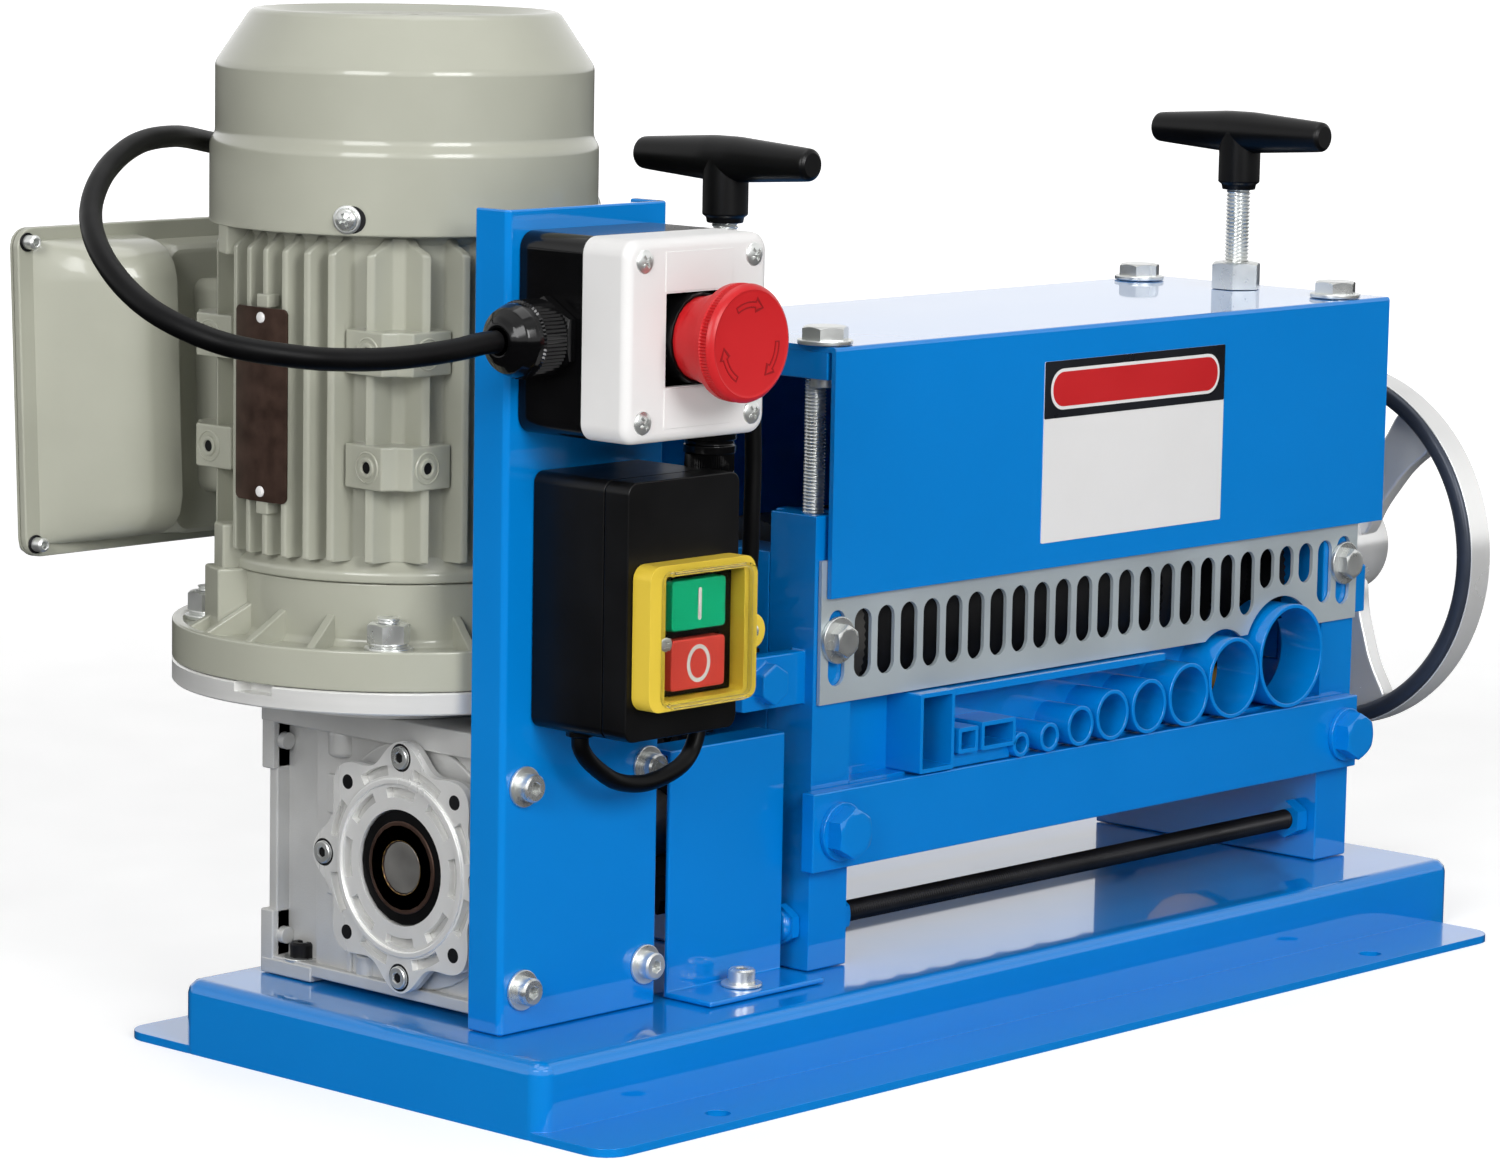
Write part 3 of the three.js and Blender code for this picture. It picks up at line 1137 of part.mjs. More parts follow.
function switchFrame() {
  const s = panelSwitch;
  const back = -gap * 3 - s.base - s.cover;
  const front = back - s.frameDepth;
  const [fx, fz] = [s.frameX - s.x, s.frameZ - s.z];
  const ring = roundedBox('y', fx - s.frameWidth / 2, fx + s.frameWidth / 2, fz - s.frameHeight / 2,
    fz + s.frameHeight / 2, front, back, s.frameCorner);
  const earAt = [s.earX - s.x - s.earRadius / 2, s.earZ - s.z];
  const earBoss = rod('y', s.earRadius, front, back, earAt, smallSides);
  const opening = moduleHole(front - cutOver, back + cutOver);
  return mesh('switch_frame', cut(join(ring, earBoss), opening), finish.yellow);
}

function switchWindow() {
  const s = panelSwitch;
  const back = -gap * 4 - s.base - s.cover - s.frameDepth;
  const front = back - s.windowDepth;
  const [mx, mz] = [s.moduleX - s.x, s.moduleZ - s.z];
  const shell = pan(s.windowWidth, s.windowHeight, s.frameCorner, s.windowWall, back, front, 'back');
  const part = mesh('switch_window', shell, finish.clear);
  part.position.set(mx, 0, mz);
  return part;
}

function pushButton(name, side, colour) {
  const s = panelSwitch;
  const z = s.moduleZ - s.z + side * button.pitch / 2;
  const mx = s.moduleX - s.x;
  const solid = roundedBox('y', mx - button.width / 2, mx + button.width / 2, z - button.height / 2,
    z + button.height / 2, button.front - bracket.front, button.back - bracket.front, button.corner);
  return mesh(name, solid, colour);
}

// Free cable: a round section swept along its route
function cable(name, { radius, sides, steps, route }) {
  const points = route.map((point) => new THREE.Vector3(...point));
  const path = new THREE.CatmullRomCurve3(points, false, 'centripetal');
  const section = new THREE.Shape();
  for (let i = 0; i < sides; i += 1) {
    const point = polar(radius, 360 * i / sides);
    if (i === 0) {
      section.moveTo(...point);
    } else {
      section.lineTo(...point);
    }
  }
  const geometry = new THREE.ExtrudeGeometry(section, { steps, extrudePath: path });
  return mesh(name, solidOf(geometry), finish.rubber);
}

// Assembly
const framePositions = [frame.leftX, frame.rightX];
const frameCentres = framePositions.map((x) => x + frame.thickness / 2);
const studY = frame.halfDepth - frame.studInset;
const meshPhase = Math.PI / 2;
const toothStep = Math.PI / gear.teeth;

const headGroup = group([0, head.shaftY, 0],
  group([frame.leftX, 0, 0], sideFrame('left_side_frame', -ear.leftReach)),
  group([frame.rightX, 0, 0], sideFrame('right_side_frame', ear.rightReach)),
  group([frame.leftX, 0, head.lowerZ], lowerBush('lower_left_bearing', 1)),
  group([frame.rightX, 0, head.lowerZ], lowerBush('lower_right_bearing', -1)),
  topCover(),
  coverBolt('cover_bolt_front_left', frameCentres[0], -studY),
  coverBolt('cover_bolt_rear_left', frameCentres[0], studY),
  coverBolt('cover_bolt_front_right', frameCentres[1], -studY),
  coverBolt('cover_bolt_rear_right', frameCentres[1], studY),
  tie('front_tie_rod', -uprightY),
  tie('rear_tie_rod', uprightY),
  group([frameCentres[0], 0, 0], adjustingScrew('left_adjusting_screw'), teeHandle('left_tee_handle')),
  group([frameCentres[1], 0, 0], adjustingScrew('right_adjusting_screw'), teeHandle('right_tee_handle')),
);

const rollerGroup = group([0, head.shaftY, upperZ],
  group([frame.leftX, 0, 0], bearingBlock('left_bearing_block')),
  group([frame.rightX, 0, 0], bearingBlock('right_bearing_block')),
  knurledRoller(),
  spurGear('upper_gear', -meshPhase + toothStep),
  handWheel(),
  crankKnob(),
);

const cutterGroup = group([0, head.shaftY, head.lowerZ],
  cutterShaft(),
  bladeStack(),
  spurGear('lower_gear', meshPhase),
  wormWheelPart(),
);

const gearboxGroup = group([motor.x, head.shaftY, head.lowerZ], gearboxHousing(), gearboxCover(), oilSeal());
const motorGroup = group([motor.x, motor.y, 0],
  motorAdapter(), endShield(), statorFrame(), statorCore(), rotorPart(), wormPart(), coolingFan(),
  fanCoverPart());
const terminalGroup = group([0, 0, 0], terminalBox(), terminalLid(), capacitorPart());

const panelGroup = group([0, 0, 0],
  controlBracket(),
  group([estop.x, bracket.front, estop.z],
    estopBase(), estopCover(), estopCollar(), estopHead(), estopPlunger(), cableGland()),
  group([panelSwitch.x, bracket.front, panelSwitch.z],
    switchBase(), switchCover(), switchFrame(), switchWindow(),
    pushButton('start_button', 1, finish.green), pushButton('stop_button', -1, finish.red)),
);

const rigid = group([0, 0, 0],
  baseTray(), couplingGuard(), guideRail(), guideTubes(), guardPlate(),
  headGroup, rollerGroup, cutterGroup, gearboxGroup, motorGroup, terminalGroup, panelGroup);

const machine = group([0, 0, 0], rigid, cable('motor_cable', motorLead), cable('switch_cable', switchLead));

// The origin is the middle of the underside of the machine's box, cables left out
rigid.updateMatrixWorld(true);
const extent = new THREE.Box3().setFromObject(rigid, true);
const middle = extent.getCenter(new THREE.Vector3());
machine.position.set(-middle.x, -middle.y, base.height);

export default group([0, 0, 0], machine);
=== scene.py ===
# Blender scene of a bench cable stripping machine.
# Lengths are millimetres in the machine's own axes: X from the base's left end, Y from
# its front wall and Z from its top face. They become the frame's metres when a mesh is
# made. Angles are degrees.
import math

import bmesh
import bpy
from mathutils import Matrix, Vector
from mathutils.geometry import tessellate_polygon


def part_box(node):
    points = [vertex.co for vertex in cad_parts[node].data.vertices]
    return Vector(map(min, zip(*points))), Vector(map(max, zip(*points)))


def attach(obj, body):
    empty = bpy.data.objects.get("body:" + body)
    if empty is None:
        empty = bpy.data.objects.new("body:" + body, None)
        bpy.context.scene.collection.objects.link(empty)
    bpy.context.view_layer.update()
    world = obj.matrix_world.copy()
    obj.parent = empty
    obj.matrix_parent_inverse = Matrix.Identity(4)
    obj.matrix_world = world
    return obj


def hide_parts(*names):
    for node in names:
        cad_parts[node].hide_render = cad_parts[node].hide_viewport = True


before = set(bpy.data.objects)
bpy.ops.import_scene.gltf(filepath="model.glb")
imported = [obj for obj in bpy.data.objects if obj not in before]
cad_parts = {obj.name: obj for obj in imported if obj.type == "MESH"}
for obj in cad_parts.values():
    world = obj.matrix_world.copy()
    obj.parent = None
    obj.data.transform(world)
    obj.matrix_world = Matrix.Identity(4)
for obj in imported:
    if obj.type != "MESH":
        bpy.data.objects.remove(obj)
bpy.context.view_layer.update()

MM = 0.001
TRAY_CORNER = Vector((0, -31, -26.5))
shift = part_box("base_tray")[0] / MM - TRAY_CORNER
to_row = Matrix.Scale(MM, 4) @ Matrix.Translation(shift)

# Sides of a round shape, largest angle that is shaded smooth, gap under a seated piece,
# depth that a piece sinks into its carrier and small step between two faces
SIDES = 96
SHARP = 30
GAP = 0.3
SUNK = 0.1
STEP = 0.05

# Camera: place and axes in the machine's frame
camera = {
    "place": (-1208.356, -1201.315, 411.036),
    "right": (0.67870313, -0.73419511, 0.01787773),
    "up": (0.09447249, 0.11142096, 0.98927262),
    "back": (-0.72831107, -0.66973347, 0.14498299),
    "lens": 126.657, "sensor": 36,
}

# Leads: radius and route of the two free cables, and steps between two points of a route
CURVE_STEPS = 14
motor_lead = {
    "radius": 3.8,
    "route": [
        (-1.4, 23, 238.5), (-7, 23, 238.4), (-20, 23.5, 236.9), (-44.9, 25, 235.7),
        (-62, 28.5, 236), (-77.7, 33, 237.4), (-98, 46, 241.6), (-106.7, 64, 248.3),
        (-105.9, 84, 256), (-100.8, 104, 266.6), (-88.3, 124, 277.3), (-66.9, 143, 288.4),
        (-37.5, 161, 296.4), (-6.4, 177, 297.4), (32, 199, 292.6), (52, 208.6, 290.5),
        (67, 215.5, 284), (76, 219.3, 274), (79.6, 221, 266), (80, 221, 262),
        (80, 221, 258.4),
    ],
}
switch_lead = {
    "radius": 3,
    "route": [
        (96.4, 23, 238.3), (99.5, 23, 238.3), (105.5, 23, 236.9), (112, 23, 232.5),
        (118, 22.7, 225), (121, 22.4, 215), (122, 22.2, 204), (122.5, 22, 190),
        (122.2, 22, 172), (122.6, 22.6, 160), (122.3, 23.3, 149), (119.5, 23.8, 138),
        (113.5, 24.2, 128.5), (106, 24.3, 119), (100.5, 24.2, 108), (98.8, 24, 98),
        (95, 23.5, 91), (88, 22, 87), (78, 22, 84), (68.4, 22, 83.3), (57, 22, 85.5),
        (48.8, 22, 90), (42, 22, 95.5), (39.3, 22, 99.6), (39, 22, 101.5), (39, 22, 102.8),
    ],
}


# Colours and materials

def screen(red, green, blue):
    """Linear colour of an 8-bit screen colour."""
    shares = [value / 255 for value in (red, green, blue)]
    linear = [((s + 0.055) / 1.055) ** 2.4 if s > 0.04 else s / 12.92 for s in shares]
    return (*linear, 1.0)


def scaled(colour, share):
    return (*[min(1.0, value * share) for value in colour[:3]], 1.0)


# Part of the noise's range that the patches use, and the smoothest roughness
NOISE_BAND = (0.3, 0.7)
LEAST_ROUGH = 0.02


def put(node, values):
    """Sets inputs of a shader node by name."""
    for key, value in values.items():
        node.inputs[key].default_value = value


def noise(nodes, links, vector, scale, detail):
    node = nodes.new("ShaderNodeTexNoise")
    put(node, {"Scale": scale, "Detail": detail})
    links.new(vector, node.inputs["Vector"])
    return node.outputs["Fac"]


def finish(name, colour, rough, metal=0.0, vary=0.1, patch=25.0, grain=900.0, relief=0.1,
           depth=0.05, spread=0.06, coat=0.0, stretch=(1, 1, 1), shine=0.35, lacquer=0.08):
    """Procedural finish: colour patches, uneven roughness and a fine relief in mm."""
    material = bpy.data.materials.new(name)
    material.use_nodes = True
    nodes, links = material.node_tree.nodes, material.node_tree.links
    shader = nodes["Principled BSDF"]
    place = nodes.new("ShaderNodeTexCoord")
    mapping = nodes.new("ShaderNodeMapping")
    put(mapping, {"Scale": stretch})
    links.new(place.outputs["Object"], mapping.inputs["Vector"])
    vector = mapping.outputs["Vector"]
    broad = noise(nodes, links, vector, patch, 5)
    fine = noise(nodes, links, vector, grain, 3)
    ramp = nodes.new("ShaderNodeValToRGB")
    low, high = ramp.color_ramp.elements
    low.position, high.position = NOISE_BAND
    low.color, high.color = scaled(colour, 1 - vary), scaled(colour, 1 + vary)
    links.new(broad, ramp.inputs["Fac"])
    links.new(ramp.outputs["Color"], shader.inputs["Base Color"])
    band = nodes.new("ShaderNodeMapRange")
    put(band, {"From Min": NOISE_BAND[0], "From Max": NOISE_BAND[1],
               "To Min": max(LEAST_ROUGH, rough - spread), "To Max": rough + spread})
    links.new(broad, band.inputs["Value"])
    links.new(band.outputs["Result"], shader.inputs["Roughness"])
    bump = nodes.new("ShaderNodeBump")
    put(bump, {"Strength": relief, "Distance": depth * MM})
    links.new(fine, bump.inputs["Height"])
    links.new(bump.outputs["Normal"], shader.inputs["Normal"])
    put(shader, {"Metallic": metal, "Specular IOR Level": shine, "Coat Weight": coat,
                 "Coat Roughness": lacquer})
    return material


def surface(slot, name, colour, *values, **options):
    """Material slot and procedural finish of an 8-bit screen colour."""
    return slot, finish(name, screen(*colour), *values, **options)


looks = {
    "blue": surface("blue_powder_coat", "powder_coat", (0, 127, 209), 0.3, vary=0.015,
            grain=700, relief=0.15, depth=0.03, spread=0.02, coat=1.0, shine=0.1, lacquer=0.04),
    "zinc": surface("zinc_plated_steel", "zinc_plate", (215, 217, 215), 0.3, 0.8, vary=0.1,
            patch=60, grain=1500, relief=0.15, spread=0.1),
    "zinc_sheet": surface("zinc_plated_steel", "zinc_sheet", (190, 200, 204), 0.42, 0.5,
            vary=0.05, patch=18, grain=1200, relief=0.15),
    "steel": surface("machined_steel", "ground_steel", (165, 163, 159), 0.34, 0.8, vary=0.12,
            patch=90, relief=0.2, stretch=(0.1, 1, 1)),
    "knurl": surface("machined_steel", "knurled_steel", (92, 90, 87), 0.36, 0.6, vary=0.14,
            patch=60, relief=0.2),
    # Near-black: the own colour of black oxide parts, and also painted shade on the roller deep
    # behind the guard, in holes, counterbores and sockets, and in the gaps round the fan cover
    # screws.
    "dark": surface("black_oxide_steel", "black_oxide_and_painted_shade", (28, 28, 30), 0.42, 0.5, vary=0.3,
            patch=45, relief=0.3, shine=0.25),
    "cast": surface("cast_aluminium", "blasted_casting", (200, 200, 198), 0.48, 0.35, vary=0.06,
            patch=35, grain=1400, relief=0.6, depth=0.12),
    "milled": surface("cast_aluminium", "milled_aluminium", (235, 235, 233), 0.3, 0.4,
            vary=0.04, patch=50, grain=1600, relief=0.12, stretch=(1, 1, 0.15)),
    "turned": surface("cast_aluminium", "turned_aluminium", (235, 235, 233), 0.32, 0.4,
            vary=0.05, patch=120, grain=1800, relief=0.2, stretch=(0.05, 0.05, 1)),
    "grey": surface("motor_paint", "motor_enamel", (168, 169, 155), 0.34, vary=0.03, patch=30,
            grain=800, relief=0.3, depth=0.05, coat=0.6),
    "black": surface("black_plastic", "moulded_black", (10, 10, 11), 0.34, vary=0.3, grain=2200,
            relief=0.25, depth=0.04, shine=0.2),
    "gloss": surface("black_plastic", "gloss_black", (9, 9, 10), 0.14, vary=0.3, relief=0.04,
            spread=0.04, shine=0.3),
    "rubber": surface("cable_rubber", "cable_sheath", (6, 6, 7), 0.45, vary=0.3, patch=60,
            grain=1500, relief=0.2, depth=0.05, shine=0.12),
    "white": surface("white_plastic", "moulded_white", (226, 225, 224), 0.38, vary=0.015,
            grain=2400, relief=0.15, depth=0.03),
    "red": surface("red_plastic", "moulded_red", (192, 27, 32), 0.36, vary=0.05, grain=2000,
            relief=0.2, depth=0.04),
    "button_red": surface("red_plastic", "button_red", (225, 75, 65), 0.34, vary=0.05,
            grain=2000, relief=0.2, depth=0.04),
    "dark_red": surface("red_plastic", "marked_red", (140, 14, 20), 0.4, vary=0.1, grain=2000,
            relief=0.1),
    "green": surface("green_plastic", "moulded_green", (13, 190, 135), 0.32, vary=0.06,
            grain=1600, relief=0.2, depth=0.04),
    "yellow": surface("yellow_plastic", "moulded_yellow", (226, 196, 66), 0.34, vary=0.04,
            grain=2000, relief=0.18, depth=0.04),
    "copper": surface("copper_winding", "lacquered_copper", (165, 92, 52), 0.35, 0.7, vary=0.2,
            patch=200, relief=0.5, stretch=(1, 1, 6)),
    "chrome": surface("polished_wheel", "polished_rim", (240, 240, 239), 0.24, 0.45, vary=0.04,
            grain=1000, relief=0.06, spread=0.05),
    # Dark blue-grey of the wheel rim's sides: a dark finish with a painted reflection of the blue
    # cover in its tint.
    "rim_dark_finish_and_reflection": surface("black_oxide_steel", "rim_dark_finish_and_reflection", (52, 58, 70), 0.34, 0.2, vary=0.12,
            patch=50, relief=0.2),
    "bronze": surface("bronze", "worm_bronze", (176, 141, 77), 0.38, 0.85, vary=0.12, patch=60,
            relief=0.2),
    "plate": surface("bronze", "name_plate", (72, 54, 46), 0.34, 0.55, vary=0.25, patch=140,
            grain=1800, relief=0.2),
    "band": surface("black_plastic", "sign_black", (18, 20, 26), 0.3, vary=0.2, relief=0.05),
}


def clear_plastic():
    """Clear moulded cover: transmission with faint smears in its roughness."""
    material = finish("clear_cover", screen(240, 240, 236), 0.08, vary=0.01, relief=0.05,
                      depth=0.03, spread=0.05)
    put(material.node_tree.nodes["Principled BSDF"],
        {"Transmission Weight": 1.0, "IOR": 1.12})
    return material


looks["clear"] = ("clear_cover", clear_plastic())


# Shapes: each is a list of points in mm and a list of faces

def spot(axis, at, a, b, level):
    """Point from two lengths across an axis and one along it."""
    if axis == "x":
        return (level, at[0] + a, at[1] + b)
    if axis == "y":
        return (at[0] + a, level, at[1] + b)
    return (at[0] + a, at[1] + b, level)


def loft(loops, closed=False):
    """Skin through loops with the same number of points, capped unless it closes."""
    count = len(loops[0])
    points = [point for loop in loops for point in loop]
    faces = []
    spans = len(loops) if closed else len(loops) - 1
    for k in range(spans):
        here, there = k * count, (k + 1) % len(loops) * count
        for i in range(count):
            j = (i + 1) % count
            faces.append((here + i, here + j, there + j, there + i))
    if not closed:
        last = (len(loops) - 1) * count
        faces.append(tuple(range(count)))
        faces.append(tuple(range(last, last + count)))
    return points, faces


def softened(points, radius, steps=4, closed=False):
    """Line through the points with its corners rounded."""
    made = []
    count = len(points)
    for i, corner in enumerate(points):
        if not closed and i in (0, count - 1):
            made.append(tuple(corner))
            continue
        here = Vector(corner)
        before, after = Vector(points[i - 1]), Vector(points[(i + 1) % count])
        reach = min(radius, (before - here).length / 2, (after - here).length / 2)
        start = here + (before - here).normalized() * reach
        end = here + (after - here).normalized() * reach
        for k in range(steps + 1):
            t = k / steps
            made.append(tuple(start * (1 - t) ** 2 + here * 2 * t * (1 - t) + end * t * t))
    return made


def lathe(axis, at, profile, soft=0.0, closed=False, sides=SIDES):
    """Round solid from pairs of radius and level; a closed profile makes a ring."""
    line = softened(profile, soft, closed=closed) if soft else profile
    turns = [2 * math.pi * i / sides for i in range(sides)]
    loops = [[spot(axis, at, r * math.cos(t), r * math.sin(t), level) for t in turns]
             for r, level in line]
    return loft(loops, closed)


def ring(axis, at, outer, inner, low, high, soft=0.3, sides=SIDES):
    return lathe(axis, at, [(outer, low), (outer, high), (inner, high), (inner, low)],
                 soft, True, sides)


def rod(axis, at, radius, low, high, soft=0.3, sides=SIDES):
    tip = radius - soft * 1.5
    return lathe(axis, at, [(tip, low), (radius, low), (radius, high), (tip, high)], soft,
                 sides=sides)


def prism(axis, outline, low, high):
    return loft([[spot(axis, (0, 0), a, b, level) for a, b in outline]
                 for level in (low, high)])


def box(x0, x1, y0, y1, z0, z1):
    return prism("z", [(x0, y0), (x1, y0), (x1, y1), (x0, y1)], z0, z1)


def rounded(a0, a1, b0, b1, radius, steps=8):
    """Outline of a rectangle with round corners."""
    centres = [(a1 - radius, b0 + radius, -90), (a1 - radius, b1 - radius, 0),
               (a0 + radius, b1 - radius, 90), (a0 + radius, b0 + radius, 180)]
    line = []
    for a, b, start in centres:
        for k in range(steps + 1):
            angle = math.radians(start + 90 * k / steps)
            line.append((a + radius * math.cos(angle), b + radius * math.sin(angle)))
    return line


def circle(a, b, radius, steps=48):
    return [(a + radius * math.cos(2 * math.pi * k / steps),
             b + radius * math.sin(2 * math.pi * k / steps)) for k in range(steps)]


def slot(a, low, high, width):
    return rounded(a - width / 2, a + width / 2, low, high, width / 2 - 0.01, 10)


def polar(radius, degrees, centre=(0, 0)):
    turn = math.radians(degrees)
    return (centre[0] + radius * math.cos(turn), centre[1] + radius * math.sin(turn))


def plate(axis, outline, holes, low, high):
    """Flat plate with holes through it."""
    loops = [outline, *holes]
    flat = [(a, b) for loop in loops for a, b in loop]
    caps = tessellate_polygon([[Vector((a, b, 0)) for a, b in loop] for loop in loops])
    count = len(flat)
    points = [spot(axis, (0, 0), a, b, level) for level in (low, high) for a, b in flat]
    faces = [tuple(corners) for corners in caps]
    faces += [tuple(corner + count for corner in corners) for corners in caps]
    start = 0
    for loop in loops:
        for i in range(len(loop)):
            here, there = start + i, start + (i + 1) % len(loop)
            faces.append((here, there, there + count, here + count))
        start += len(loop)
    return points, faces


# Angles of the points round a fastener's head
TURNS = [5 * i for i in range(72)]
# Fastener heads: shares of the head's own size, with mouth and lip as lengths
hex_form = {"crown": 0.96, "slope": 0.55, "middle": 0.8, "mouth": 0.4}
socket_form = {"edge": 0.14, "mouth": 0.25, "lip": 0.3, "floor": 0.45}
cross_form = {"rings": 20, "sides": 80, "span": 0.97, "arm": 0.13, "reach": 0.56,
              "sink": 0.55, "middle": 0.2}


def hexagon(flats, turn):
    """Radius of a hexagon at an angle in degrees; a flat faces angle 0."""
    return flats / 2 / math.cos(math.radians((turn + 30) % 60 - 30))


def headed(axis, at, base, way, loops, closed=False):
    """Head on a face from loops of radius, angle and height."""
    return loft([[spot(axis, at, *polar(r, t), base + way * level) for r, t, level in loop]
                 for loop in loops], closed)


def hex_body(axis, at, base, way, flats, height, bore=None):
    """Hexagon head or nut with a turned chamfer; way is +1 or -1 along the axis."""
    h = hex_form
    crown = flats / 2 * h["crown"]
    loops = [
        [(hexagon(flats, t), t, 0) for t in TURNS],
        [(hexagon(flats, t), t, height - (hexagon(flats, t) - crown) * h["slope"])
         for t in TURNS],
        [(crown, t, height) for t in TURNS],
    ]
    if bore:
        loops += [[(bore + h["mouth"], t, height) for t in TURNS],
                  [(bore, t, height - h["mouth"]) for t in TURNS],
                  [(bore, t, 0) for t in TURNS]]
    else:
        loops += [[(crown * h["middle"], t, height) for t in TURNS]]
    return headed(axis, at, base, way, loops, bool(bore))


def washer(axis, at, base, way, radius, bore, thick):
    low, high = sorted((base, base + way * thick))
    return ring(axis, at, radius, bore, low, high, 0.35)


def bolt(axis, at, face, way, sizes, low, high):
    """Washer on a face, hexagon head on the washer, and a plain shank between two levels."""
    s = sizes
    return (washer(axis, at, face, way, s["washer"], s["bore"], s["thick"]),
            hex_body(axis, at, face + way * s["thick"], way, s["flats"], s["height"]),
            rod(axis, at, s["shank"], low, high))


def cap_screw(axis, at, base, way, radius, height, key):
    """Round head with a hexagon socket across flats key."""
    s = socket_form
    edge = height * s["edge"]
    levels = [(radius, 0), (radius, height - edge), (radius - edge, height)]
    loops = [[(r, t, level) for t in TURNS] for r, level in levels]
    loops += [[(hexagon(key, t) + s["mouth"], t, height) for t in TURNS],
              [(hexagon(key, t), t, height - s["lip"]) for t in TURNS],
              [(hexagon(key, t), t, height * s["floor"]) for t in TURNS]]
    return headed(axis, at, base, way, loops)


def pan_screw(axis, at, base, way, radius, height, turn=20):
    """Domed head with a cross recess."""
    c = cross_form
    rings, sides, wide, long = c["rings"], c["sides"], radius * c["arm"], radius * c["reach"]
    loops = []
    for k in range(rings + 1):
        share = 1 - k / rings * c["span"]
        dome = height * math.sqrt(max(0.0, 1 - (share * c["span"]) ** 2)) if k else 0
        loop = []
        for i in range(sides):
            angle = 360 * i / sides
            a, b = polar(radius * share, angle)
            u, v = polar(radius * share, angle - turn)
            arm = min(abs(u), abs(v)) < wide and max(abs(u), abs(v)) < long
            sink = height * c["sink"] if arm or share < c["middle"] else 0
            loop.append(spot(axis, at, a, b, base + way * (dome - sink)))
        loops.append(loop)
    return loft(loops)


def thread(axis, at, radius, low, high, pitch, depth, per=5, sides=28):
    """Rod with a helical thread."""
    count = int((high - low) / pitch * per)
    loops = []
    for k in range(count + 1):
        level = low + (high - low) * k / count
        loop = []
        for i in range(sides):
            share = (level / pitch + i / sides) % 1
            r = radius - depth * abs(2 * share - 1)
            loop.append(spot(axis, at, *polar(r, 360 * i / sides), level))
        loops.append(loop)
    return loft(loops)


# Objects

def added(name, data):
    """New object in the scene."""
    obj = bpy.data.objects.new(name, data)
    bpy.context.scene.collection.objects.link(obj)
    return obj


def smooth_edges(obj, bevel):
    """Rounds the edges a little and keeps flat faces flat in the shading."""
    if bevel:
        cut = obj.modifiers.new("edges", "BEVEL")
        cut.width = bevel * MM
        cut.segments = 3
        cut.limit_method = "ANGLE"
        cut.angle_limit = math.radians(SHARP)
    even = obj.modifiers.new("shading", "WEIGHTED_NORMAL")
    even.keep_sharp = True


def piece(name, look, body, *shapes, bevel=0.0, stands_for=()):
    """One object from one or more shapes, in the frame's metres, riding on a body."""
    points, faces = [], []
    for shape_points, shape_faces in shapes:
        start = len(points)
        points += shape_points
        faces += [tuple(start + corner for corner in face) for face in shape_faces]
    mesh = bpy.data.meshes.new(name)
    mesh.from_pydata(points, [], faces)
    mesh.transform(to_row)
    work = bmesh.new()
    work.from_mesh(mesh)
    bmesh.ops.recalc_face_normals(work, faces=work.faces)
    work.to_mesh(mesh)
    work.free()
    mesh.shade_smooth()
    if not bevel:
        mesh.set_sharp_from_angle(angle=math.radians(SHARP))
    slot_name, material = looks[look]
    mesh.materials.append(material)
    obj = added(name, mesh)
    smooth_edges(obj, bevel)
    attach(obj, body)
    if stands_for:
        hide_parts(*stands_for)
    return obj


def fixed(name, look, *shapes, **options):
    """Piece that rides on the frame."""
    return piece(name, look, "frame", *shapes, **options)


def dress(node, look, bevel):
    """Finish of a CAD node that keeps its shape, with slightly rounded edges."""
    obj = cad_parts[node]
    mesh = obj.data
    mesh.materials.clear()
    mesh.materials.append(looks[look][1])
    for spare in ("custom_normal", "sharp_edge", "sharp_face"):
        if spare in mesh.attributes:
            mesh.attributes.remove(mesh.attributes[spare])
    mesh.shade_smooth()
    weld = obj.modifiers.new("weld", "WELD")
    weld.merge_threshold = 0.01 * MM
    flat = obj.modifiers.new("flat", "DECIMATE")
    flat.decimate_type = "DISSOLVE"
    flat.angle_limit = math.radians(0.5)
    smooth_edges(obj, bevel)


def make_camera():
    data = bpy.data.cameras.new("camera")
    data.sensor_fit = "HORIZONTAL"
    data.sensor_width = camera["sensor"]
    data.lens = camera["lens"]
    data.clip_end = 50
    obj = added("camera", data)
    axes = [Vector(camera[key]) for key in ("right", "up", "back")]
    turn = Matrix(axes).transposed().to_4x4()
    place = to_row @ Vector(camera["place"])
    obj.matrix_world = Matrix.Translation(place) @ turn
    bpy.context.scene.camera = obj


def catmull(route):
    """Centripetal curve through the route's points, as the CAD sweeps it."""
    points = [Vector(point) for point in route]
    ends = [points[0] * 2 - points[1], *points, points[-1] * 2 - points[-2]]
    made = []
    for i in range(len(points) - 1):
        p0, p1, p2, p3 = ends[i:i + 4]
        d0, d1, d2 = [max(1e-4, (q - p).length ** 0.5)
                      for p, q in ((p0, p1), (p1, p2), (p2, p3))]
        t1 = ((p1 - p0) / d0 - (p2 - p0) / (d0 + d1) + (p2 - p1) / d1) * d1
        t2 = ((p2 - p1) / d1 - (p3 - p1) / (d1 + d2) + (p3 - p2) / d2) * d1
        for k in range(CURVE_STEPS):
            t = k / CURVE_STEPS
            a, b = p1, p2
            made.append(a + t1 * t + (b * 3 - a * 3 - t1 * 2 - t2) * t ** 2
                        + (a * 2 - b * 2 + t1 + t2) * t ** 3)
    return [*made, points[-1]]


